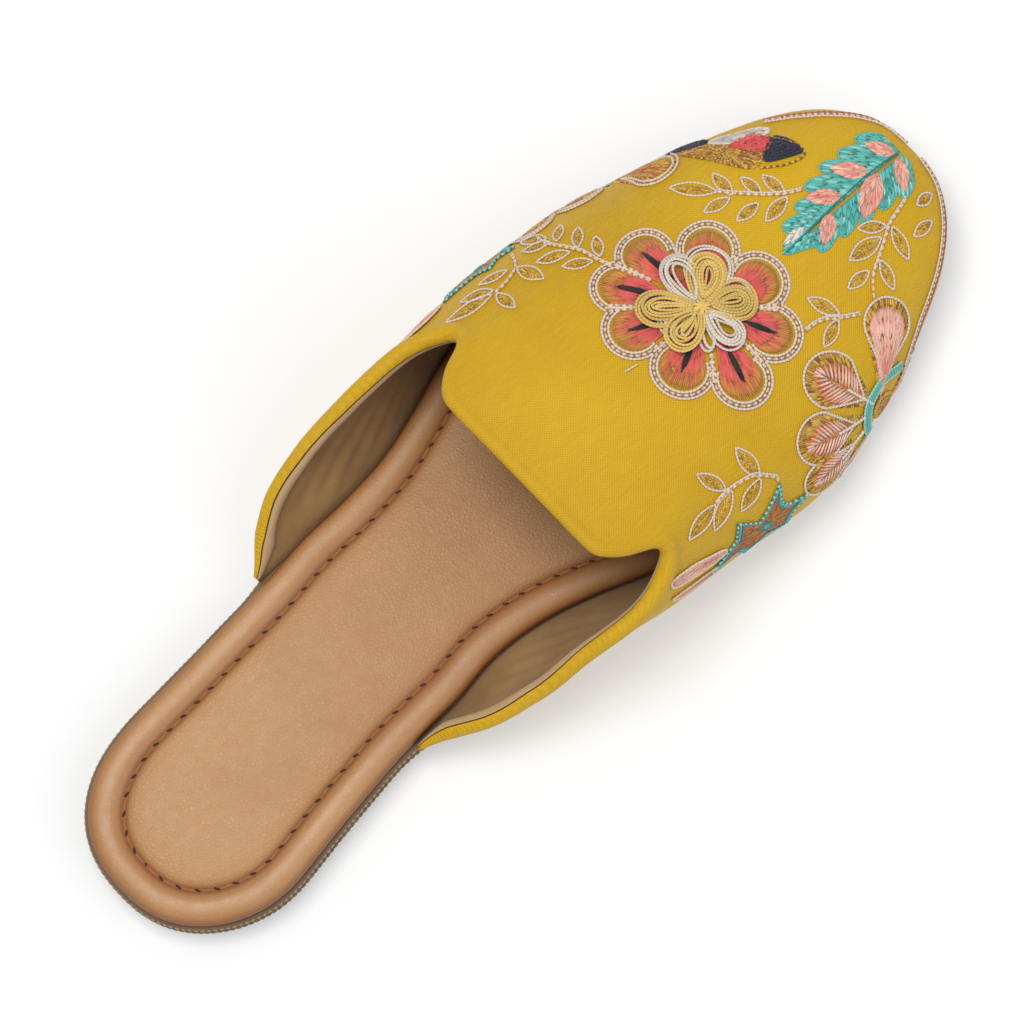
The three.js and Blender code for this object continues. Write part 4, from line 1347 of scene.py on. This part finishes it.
def cordLoop(end, half, rounds, tint, height):
    # Teardrop rounds inside each other: the width is a sine times a power of the half sine. All
    # rounds run together towards the hub, and each wanders a little.
    hub, end = np.array(rosette['hub']), np.array(end, float)
    axis = (end - hub) / np.linalg.norm(end - hub)
    aside = np.array([-axis[1], axis[0]])
    reach = np.linalg.norm(end - hub)
    turn = np.linspace(0.1, 2 * np.pi - 0.1, 260)
    items = []
    for number in range(rounds):
        inset = number * 1.85 * rosette['cord']
        start = 0.4 + 0.9 * inset
        long, wide = reach - rosette['cord'] - inset - start, half - rosette['cord'] - inset
        a = start + long * (1 - np.cos(turn)) / 2
        sway = 0.2 * chance.normal() * np.sin(2 * turn + chance.uniform(0, 6))
        wander = sway + 0.16 * chance.normal() * np.sin(turn / 2)
        b = wide * np.sin(turn) * np.sin(turn / 2) ** 0.8 / 0.8 + wander
        line = evenly(hub + axis * a[:, None] + aside * b[:, None], rosette['step'])
        share = np.linspace(0, 1, len(line))
        twist = 2 * np.pi * share * len(line) * rosette['step'] / 0.8
        thick = rosette['cord'] * (0.92 + 0.08 * np.sin(twist)) * chance.uniform(0.92, 1.08)
        raised = height + 0.22 * number + 0.45 * np.sin(np.pi * share)
        raised = raised + 0.2 * np.sin(7 * share + 2.3 * number)
        # painted shade in the grooves of the twist, over a random shade for each round
        colour = threadColour[tint] * (0.84 + 0.16 * np.sin(twist))[:, None] * chance.uniform(0.84, 1.1)
        items.append((line[None], thick[None], raised[None], colour[None]))
    return items


def makeRosette():    # loops, then tight cords across the hub in an arch
    items = []
    for end, half, rounds, tint, height in rosette['loops']:
        items += cordLoop(end, half, rounds, tint, height)
    hub = np.array(rosette['hub'])
    for angle in rosette['ties']:
        reach = rosette['tieReach'] * np.array([math.cos(angle), math.sin(angle)])
        line = evenly(np.stack([hub - reach, hub + reach]), rosette['step'])
        raised = 1.8 + 0.7 * np.sin(np.linspace(0, np.pi, len(line))) + 0.12 * angle
        colour = np.repeat(threadColour['gold'][None], len(line), axis=0) * chance.uniform(0.8, 1.05)
        items.append((line[None], np.full((1, len(line)), rosette['cord']), raised[None], colour[None]))
    return items


def makeHoles():    # rust stitches seen through the white loops
    items = []
    for base, tip, half in rosette['holes']:
        outline = leafLine(base, tip, half)
        items += fan(outline, (np.array(base) + tip) / 2, ('rust', 'rust'), rows=2, lift=0.7, swell=0.1)
    return items


# Turquoise leaf: a midrib with round lobes that lean forwards, and pink leaflets on it
leaf = {
    'midrib': ((250, 0.5), (240, 1.1), (230, 0.9), (219, 0.4), (211, 0.0)),
    'left': ((246, 9.9), (239, 10.0), (233.5, 10.3), (227.5, 9.2), (221.5, 7.0), (216.5, 5.5)),
    'right': ((244, -9.0), (237.5, -7.9), (231.5, -7.2), (225.5, -6.4), (219, -5.8)),
    'foot': 251,
    'notch': 0.72,           # reach of the edge between two lobes, as a share of the lower one's
    'slant': 0.78,           # forwards run of the stitches for each millimetre outwards
    'pinks': (               # base, tip and half width of each pink leaflet
        ((249, 0.8), (245.0, 7.6), 1.9), ((240, 1.4), (233.6, 8.4), 2.2), ((230.5, 1.3), (223.6, 6.8), 2.0),
        ((249, -0.5), (243.6, -7.8), 1.9), ((241.6, -0.2), (230.4, -6.2), 2.8),
        ((225.6, -0.1), (218.6, -4.6), 1.9),
    ),
    'greens': ('teal', 'teal', 'paleTeal', 'teal', 'midTeal', 'midTeal'),
}


def leafletFill(base, tip, half, gradient, lift):    # stitches that spread from a leaflet's foot
    focus = np.array(base) + (np.array(tip) - base) * 0.06
    return fan(leafLine(base, tip, half), focus, gradient, rows=3, lift=lift, swell=0.15, mixed=True)


def lobedReach(tipHighlight):
    # Places along the midrib and the reach of the slanted stitches from each: the square root of a
    # half sine for every lobe, on a line through the notches. Next to the leaf's tip is no lobe.
    x, top = np.abs(np.array(tipHighlight))[::-1].T
    peaks = x + leaf['slant'] * top
    knots = np.concatenate([[211.0, peaks[0] - 3.3], (peaks[1:] + peaks[:-1]) / 2, [peaks[-1] + 2.5]])
    between = leaf['notch'] * np.minimum(top[1:], top[:-1])
    low = np.concatenate([[0.4, 0.6 * top[0]], between, [0.8 * top[-1]]])
    at = np.arange(knots[0], knots[-1], 0.42)
    part = np.searchsorted(knots, at, side='right') - 1
    share = (at - knots[part]) / (knots[part + 1] - knots[part])
    floor = np.interp(at, knots, low)
    lobe = np.maximum(np.concatenate([[0], top])[part] - floor, 0) * np.sqrt(np.abs(np.sin(np.pi * share)))
    return at, floor + lobe


def lobedFill(tipHighlight, side):
    # Slanted stitches from the midrib, or from the foot's edge, out to the edge, each broken in three
    at, out = lobedReach(tipHighlight)
    foot, slant = leaf['foot'], leaf['slant']
    inner = np.stack([np.minimum(at, foot), side * np.maximum(0.3, (at - foot) / slant)], 1)
    outer = np.stack([at - slant * out, side * out], 1)
    items, first = [], np.zeros(len(at))
    for part in range(3):
        last = np.ones(len(at)) if part == 2 else (part + 1) / 3 + chance.uniform(-0.12, 0.12, len(at))
        raised = 0.2 + 0.25 * (1 - first) + chance.uniform(-0.04, 0.06, len(at))
        near, far = inner + (outer - inner) * first[:, None], inner + (outer - inner) * last[:, None]
        shares = (first, last)
        items.append(layStitches(near, far, threadLook['stitch'], raised, shares, leaf['greens'], True))
        first = last
    edge = np.concatenate([outer, [[foot, 0.6 * side]]])
    items.append(chain(evenly(edge, threadLook['step']), 'teal', 0.7, 0.25))
    return items


def makeLeaf():    # both halves, leaflets, the tip's white edge and a midrib of two chains
    items = lobedFill(leaf['left'], 1) + lobedFill(leaf['right'], -1)
    for base, tip, half in leaf['pinks']:
        items += leafletFill(base, tip, half, ('pink', 'palePink', 'pink', 'coralPink'), 0.55)
    items += leafletFill((218.5, 0.2), (210, 0.3), 2.0, leaf['greens'], 0.3)
    items += leafletFill((218.5, 1.6), (211.5, 1.9), 1.0, ('white', 'grey', 'white'), 0.5)
    items.append(chain(smoothLine(leaf['midrib']), 'darkTeal', 0.9, 0.6))
    items.append(chain(smoothLine(leaf['midrib']) + (0, 0.5), 'teal', 0.8, 0.55))
    return items


# Sprigs: a double-stitched stem and leaves outlined in chain stitch, base to tip
sprigs = [
    {'stem': ((243, -9), (239, -10), (235, -11), (232, -12.5), (228, -14.7), (223, -17.3), (219, -21.7)),
     'leaves': (((235, -11.8), (233, -20.1)), ((234, -10.8), (228, -6.9)), ((231, -12), (221, -11)),
                ((227, -15.7), (225, -23.1)), ((223, -15.8), (216, -15.5)), ((250, -12.1), (244, -11.9)),
                ((245, -17), (238, -16.9)))},
    {'stem': ((225, 8.5), (221, 10.7), (217, 14.1), (213, 18.3), (210, 21.8)),
     'leaves': (((221, 10.4), (221, 17.7)), ((221, 9.7), (213, 8.6)), ((217, 14.1), (217, 20.8)),
                ((215, 13.1), (208, 13.1)), ((212, 18.7), (213, 26.5)), ((211, 18.6), (204, 19.7)),
                ((210, 21.8), (203, 31)))},
    {'stem': ((179, 24.2), (178, 27.9), (177, 32.8), (175, 37.3), (173, 42.6), (173, 47.5)),
     'leaves': (((179, 28.4), (182, 33.7)), ((177, 34.4), (181, 39.5)), ((175, 40.7), (179, 44.8)),
                ((177, 28.7), (171, 32.8)), ((175, 34.8), (168, 39.5)), ((174, 42), (168, 46.4)),
                ((174, 44), (170, 52.1)))},
    {'stem': ((166, 49), (164, 43.1), (160, 40.9), (156, 40.1)),
     'leaves': (((164, 42.5), (166, 33.7)), ((156, 39.7), (156, 32.2)), ((155, 40.4), (143, 42.9)),
                ((162, 44), (155, 46.9)), ((156, 41.2), (149, 46.5)))},
    {'stem': ((201, -15.9), (204, -16.1), (207, -17.2), (209, -18.8), (214, -21.8)),
     'leaves': (((210, -18.4), (207, -10.8)), ((209, -19), (202, -21.4)))},
    {'stem': ((173, -39.5), (173, -37.7), (171, -35.3), (169, -33.4), (165, -32.5), (161, -32.3), (158, -33.1)),
     'leaves': (((170, -34.7), (170, -25.3)), ((170, -35.2), (162, -39.4)), ((162, -31.7), (159, -24.1)),
                ((163, -32.8), (154, -38.8)), ((158, -33.1), (148, -35.7)))},
]


def makeSprigs():    # leaves a fifth as wide as long on each side, within limits
    items = []
    for sprig in sprigs:
        stem = smoothLine(sprig['stem'])
        items.append(chain(stem, 'cream', 1.1, 0.35, dots='ochre', dotPitch=1.7))
        items.append(chain(stem + (0.35, 0.45), 'lilac', 0.8, 0.3))
        for base, tip in sprig['leaves']:
            half = 0.2 * np.linalg.norm(np.subtract(tip, base))
            half = min(max(half, 1.35), 1.95)
            outline = leafLine(base, tip, half, fullest=0.5)
            items.append(chain(evenly(outline, threadLook['step']), 'lilac', 0.8, 0.3))
            small = leafLine(base, tip, half * 0.62, fullest=0.5)
            golds = ('mustard', 'ochre', 'mustard', 'darkMustard', 'mustard')
            items += fan(small, (np.array(base) + tip) / 2, golds, rows=3, lift=-0.05, swell=0.1, mixed=True,
                         pitch=0.8, radius=0.22)
    return items


# Double chain lines close to the toe's edge
edgeLines = [
    ((255.2, -3.7), (252.8, -12.5), (246.4, -20.9), (237.6, -28.2), (228, -34.6), (217.5, -42.3)),
    ((234, 29.8), (246.5, 18.4), (254.4, 9), (255.4, 1.4)),
]


def makeEdgeLines():    # each line again further out from the toe's pole
    items = []
    for points in edgeLines:
        line = smoothLine(points)
        outwards = line - np.array([poleX, 0])
        outwards = outwards / np.linalg.norm(outwards, axis=1, keepdims=True)
        items.append(chain(line, 'lilac', 0.8, 0.3))
        items.append(chain(line + 0.8 * outwards, 'cream', 0.9, 0.3, dots='brown'))
        items.append(chain(line + 1.7 * outwards, 'orange', 0.9, 0.3, dots='darkOchre'))
    return items


# Flowers on both sides. Each petal has a foot, a centre and radius for its outline, and its finish
sideFlower = {
    'petals': (
        ((205, -42), (218.3, -28.6), 6.8, 'pink', (217.9, -29.0), 5.2),
        ((203, -42.5), (198, -28.4), 6.9, 'veined', (196.4, -23.6), 5.0),
        ((200, -43.5), (187.4, -38.2), 6.7, 'veined', (182.6, -37.2), 4.6),
        ((198, -47), (183, -48.4), 5.8, 'veined', (179, -48.8), 4.0),
        ((200, -50), (192, -57), 5.4, 'veined', (189, -60), 3.4),
        ((209, -48), (221, -47), 5.4, 'pink', (220, -47), 3.9),
    ),
    'arc': ((216, -40.5), (208, -38.6), (202, -40.8), (198.5, -47), (199, -53)),
    'heart': (205.5, -46.5),
}

outerFlower = {
    'petals': (
        ((195, 55), (205, 41), 6.6, 'ochre', (205.4, 40.6), 4.0),
        ((196, 56), (189, 54.5), 7.6, 'ochre', (189, 54), 5.0),
        ((186, 58), (176, 56.5), 6.5, 'ochre', (176, 56), 4.2),
        ((202, 55), (215, 48), 5.4, 'ochre', (214, 48), 3.4),
    ),
    'arc': ((206, 56), (201, 53), (196, 54), (193, 58)),
    'heart': (198, 58),
}

ground = ('ochre', 'mustard', 'darkOchre', 'ochre', 'mustard')


def petalLine(foot, centre, radius):    # a round end that narrows straight to its foot
    foot, centre = np.array(foot, float), np.array(centre, float)
    heading = math.atan2(*(centre - foot)[::-1])
    return np.concatenate([foot[None], circleLine(centre, radius, heading, 108), foot[None]])


def makeSideFlower(spec):
    # Ground stitches and rims for each petal, its finish on them, an arc of chains and a heart
    items = []
    rims = [(np.array(petal[1], float), petal[2]) for petal in spec['petals']]
    for number, (foot, centre, radius, finish, inner, half) in enumerate(spec['petals']):
        foot, centre, inner = (np.array(p, float) for p in (foot, centre, inner))
        axis = centre - foot
        items += fan(petalLine(foot, centre, radius), foot + axis * 0.6, ground, rows=6, lift=0.03, swell=0.08,
                     mixed=True, pitch=0.6)
        others = [rim for k, rim in enumerate(rims) if k != number]
        bands = ((0.0, 'lilac'), (1.3, 'cream')) if finish == 'ochre' else ((0.0, 'lilac'),)
        for offset, tint in bands:
            line = petalLine(foot + axis * 0.25, centre, radius - offset)[1:-1]
            line = evenly(np.concatenate([foot[None] + axis * 0.3, line, foot[None] + axis * 0.3]), 0.5)
            keep = np.all([np.linalg.norm(line - c, axis=1) > r - offset for c, r in others], axis=0)
            for run in splitRuns(line, keep):
                items.append(chain(evenly(run, threadLook['step']), tint, lift=0.4))
        inside, focus = petalLine(foot, inner, half), foot + (inner - foot) * 0.3
        if finish == 'pink':
            items += fan(inside, focus, ('coralPink', 'pink', 'palePink', 'pink'), rows=5, lift=0.3)
        elif finish == 'ochre':
            golds = ('rust', 'ochre', 'brown', 'mustard')
            items += fan(inside, focus, golds, rows=7, lift=0.2, mixed=True, pitch=0.42)
        else:
            items += makeVeins(foot, inner, half)
    arc = smoothLine(spec['arc'])
    ahead = np.gradient(arc, axis=0)
    aside = np.stack([-ahead[:, 1], ahead[:, 0]], 1) / np.linalg.norm(ahead, axis=1, keepdims=True)
    for offset in np.linspace(-1.1, 1.1, 5):
        tint = 'teal' if abs(offset) < 1 else 'paleTeal'
        items.append(chain(arc + aside * offset, tint, 0.85, 0.55))
    heart = circleLine(spec['heart'], 4.2, 0, 180)
    items += fan(heart, spec['heart'], ('rust', 'ochre', 'mustard'), rows=3, lift=0.25)
    return items


def makeVeins(foot, tip, half):
    # A pale feather on rust ground: stitches slanted forwards from both sides of a rib. Its half
    # width follows a sine that is fullest two thirds of the way out.
    axis = tip - foot
    long = np.linalg.norm(axis)
    ahead = axis / long
    aside = np.array([-ahead[1], ahead[0]])
    fullest, rusts, whites = 0.62, ('rust', 'orange', 'rust'), ('white', 'palePink', 'pink')
    outline = leafLine(foot + axis * 0.15, tip, half, fullest)
    items = fan(outline, foot + axis * 0.5, rusts, rows=3, lift=0.15, swell=0.05, mixed=True)
    t = np.arange(0.36, 0.93, 0.95 / long)
    reach = np.clip(t + 0.13, 0, 0.985)
    place = np.clip((reach - 0.15) / 0.85, 0, 1)
    wide = half * np.sin(np.pi * place ** (math.log(0.5) / math.log(fullest))) ** 0.85
    for side in (1, -1):
        start = foot + axis * t[:, None] + aside * side * 0.2
        end = foot + axis * reach[:, None] + aside * (side * wide * 0.96)[:, None]
        shares = (np.zeros(len(t)), np.ones(len(t)))
        items.append(layStitches(start, end, 0.3, np.full(len(t), 0.4), shares, whites, False))
    rib = evenly(np.stack([foot + axis * 0.05, foot + axis * 0.5]), threadLook['step'])
    items.append(chain(rib, 'white', 1.1, 0.5))
    return items


# Pointed stars low on both sides: outline points and centre
stars = [
    {'points': ((173, -40.1), (171, -45.2), (172, -48.2), (177.5, -49.8), (172, -52.5), (170, -57),
                (164, -54.5), (158, -57.5), (156, -53), (147, -54), (153.5, -49.8), (157, -47.5),
                (159.5, -42.2), (164, -46.9), (168, -44)),
     'centre': (165, -50)},
    {'points': ((168, 52.2), (163, 53.4), (160, 50.6), (157, 54), (147, 54.2), (151, 58), (149, 63), (156, 62),
                (160, 66), (163, 62), (170, 62), (167, 57)),
     'centre': (159, 58)},
]


def makeStars():    # speckled fill, and rims that are the outline drawn in to the centre
    speckled = ('rust', 'brown', 'darkOchre', 'orange', 'ochre')
    rims = ((1.0, 'darkTeal', 'paleTeal'), (0.91, 'teal', None), (0.83, 'darkTeal', None))
    items = []
    for star in stars:
        outline = np.array(star['points'] + star['points'][:1], float)
        centre = np.array(star['centre'], float)
        items += fan(outline, centre, speckled, rows=7, lift=0.1, swell=0.1, mixed=True, pitch=0.42)
        for share, tint, dots in rims:
            line = evenly(centre + (outline - centre) * share, threadLook['step'])
            items.append(chain(line, tint, 0.95, 0.4, dots=dots))
        items += fan(circleLine(centre, 1.8, 0, 180), centre, ('teal', 'darkTeal'), rows=2, lift=0.3)
    return items


# Filled shapes without veins: closed outline, focus of the stitches, threads, chain round them,
# whether the threads are mixed, and height
patches = [
    # bud low on the inner side
    (((139, -42), (138.4, -44.4), (140, -46.6), (147, -48.4), (153, -49), (153.4, -47), (149, -44.8),
      (144, -42.8)),
     (151, -47), ('coralPink', 'pink', 'palePink', 'pink'), 'cream', False, 0.15),
    (((137, -50.4), (140, -53), (147, -54), (150, -52.5), (143, -51)),
     (148, -52.5), ('coral', 'pink'), 'cream', False, 0.1),
    # bud low on the outer side
    (((133, 54), (137, 52.6), (142, 52.4), (146, 54), (142, 57), (136, 57.5), (132, 56)),
     (142, 54.5), ('coral', 'pink', 'palePink'), 'cream', False, 0.15),
    # striped bud at the toe's outer side
    (((227, 23), (221, 20.5), (216, 29), (212, 41), (217, 39), (222.5, 31)),
     (219.5, 29.5), ('ochre', 'darkOchre', 'mustard', 'brown'), None, True, 0.1),
    (((232.5, 28), (230.5, 25.5), (222.5, 30.5), (219.5, 36), (223, 36)),
     (225.5, 30.5), ('white', 'grey', 'white'), None, False, 0.2),
    (((229, 29), (229.5, 23), (226, 22), (221.5, 30)), (226, 26.5), ('red', 'coral', 'red'), None, False, 0.3),
    (((231.5, 24), (233, 15.5), (224, 20)), (229, 20), ('navy', 'navy', 'navy'), None, False, 0.3),
    (((221, 38.5), (218, 37), (210, 44), (216, 46)), (217, 41), ('navy', 'navy'), None, False, 0.3),
]


# Chain beside the striped bud
budLine = ((230, 25.2), (233, 18.1), (232, 14.7), (227, 15.8), (222, 19.6))


def makePatches():    # mixed fills are finer and broken more often
    items = []
    for points, focus, gradient, border, mixed, lift in patches:
        rows, pitch = (10, 0.42) if mixed else (4, 0.5)
        outline = smoothLine(points, True)
        items += fan(outline, focus, gradient, rows=rows, lift=lift, mixed=mixed, swell=0.2, pitch=pitch)
        if border:
            items.append(chain(outline, border, 1.0, lift + 0.3))
    items.append(chain(smoothLine(budLine), 'darkOchre', 1.0, 0.35, dots='mustard'))
    return items


def makeEmbroidery():    # a joined mesh for each motif
    sew('embroidery_flower', makeFlower())
    sew('embroidery_leaf', makeLeaf())
    sew('embroidery_sprigs', makeSprigs())
    sew('embroidery_toe_lines', makeEdgeLines())
    sew('embroidery_inner_flower', makeSideFlower(sideFlower))
    sew('embroidery_outer_flower', makeSideFlower(outerFlower))
    sew('embroidery_stars', makeStars())
    sew('embroidery_buds', makePatches())
    sew('rosette_holes', makeHoles())
    sew('rosette_cords', makeRosette(), ring=8, material=cordMaterial)


makeEmbroidery()


# Floor, light and camera

stageLook = {
    'floor': (srgb(200, 201, 203), srgb(204, 205, 206)),
    'glow': 0.36,            # the floor's own light, which keeps its shadows pale
    'keyPower': 15.5,
    'fillPower': 5.0,
    'world': 0.38,
    'reach': 3.0,            # half of the floor's side
}


def floorMaterial():    # pale, with a little light of its own
    material, tree, shader = startMaterial('pale floor', 0.9, 0.0, 0.2)
    mottle = useGroup(tree, mottleGroup, Place=objectPlace(tree), Scale=3.0)
    feed(tree, shader, 'Base Color', mixColour(tree, mottle['Slow'], *stageLook['floor']))
    shader.inputs['Emission Color'].default_value = (1.0, 1.0, 1.0, 1.0)
    shader.inputs['Emission Strength'].default_value = stageLook['glow']
    return material


def buildStage():    # one flat square
    reach = stageLook['reach']
    corners = np.array([(-reach, -reach, 0), (reach, -reach, 0), (reach, reach, 0), (-reach, reach, 0)])
    mesh = bpy.data.meshes.new('floor')
    mesh.from_pydata(corners.tolist(), [], [(0, 1, 2, 3)])
    mesh.materials.append(floorMaterial())
    floor = bpy.data.objects.new('floor', mesh)
    bpy.context.scene.collection.objects.link(floor)


def areaLight(name, place, target, size, power, colour):    # turned from its place to its target
    data = bpy.data.lights.new(name, 'AREA')
    data.size = size
    data.energy = power
    data.color = colour
    lamp = bpy.data.objects.new(name, data)
    lamp.location = place
    lamp.rotation_euler = (Vector(target) - Vector(place)).to_track_quat('-Z', 'Y').to_euler()
    bpy.context.scene.collection.objects.link(lamp)


def buildLight():    # key above the outer side, fill above the inner side, pale sky
    areaLight('key', (-0.08, 0.3, 1.5), (0, 0, 0.02), 0.7, stageLook['keyPower'], (1.0, 0.98, 0.95))
    areaLight('fill', (0.3, -0.9, 1.2), (0, 0, 0.02), 1.0, stageLook['fillPower'], (0.97, 0.98, 1.0))
    world = bpy.data.worlds.new('studio')
    world.use_nodes = True
    world.node_tree.nodes['Background'].inputs[0].default_value = (0.98, 0.99, 1.0, 1.0)
    world.node_tree.nodes['Background'].inputs[1].default_value = stageLook['world']
    bpy.context.scene.world = world
    bpy.context.scene.view_settings.view_transform = 'Standard'


cameraLook = {
    'place': (-0.0868, -0.1342, 1.1762),    # found from the photo's perspective
    'target': (0.0, 0.0, 0.02),
    'right': (0.719, -0.695, 0.0),          # the picture's rightward direction on the floor
    'lens': 178.0,
}


def buildCamera():    # axes from the view's direction and the picture's right by cross products
    data = bpy.data.cameras.new('camera')
    data.lens = cameraLook['lens']
    data.sensor_width = 36.0
    data.clip_end = 20.0
    camera = bpy.data.objects.new('camera', data)
    place, target = Vector(cameraLook['place']), Vector(cameraLook['target'])
    back = (place - target).normalized()
    right = Vector(cameraLook['right'])
    right = (right - back * right.dot(back)).normalized()
    up = back.cross(right)
    turn = Matrix((right, up, back)).transposed().to_4x4()
    camera.matrix_world = Matrix.Translation(place) @ turn
    bpy.context.scene.collection.objects.link(camera)
    bpy.context.scene.camera = camera


buildStage()
buildLight()
buildCamera()
print('stage, light and camera are set')
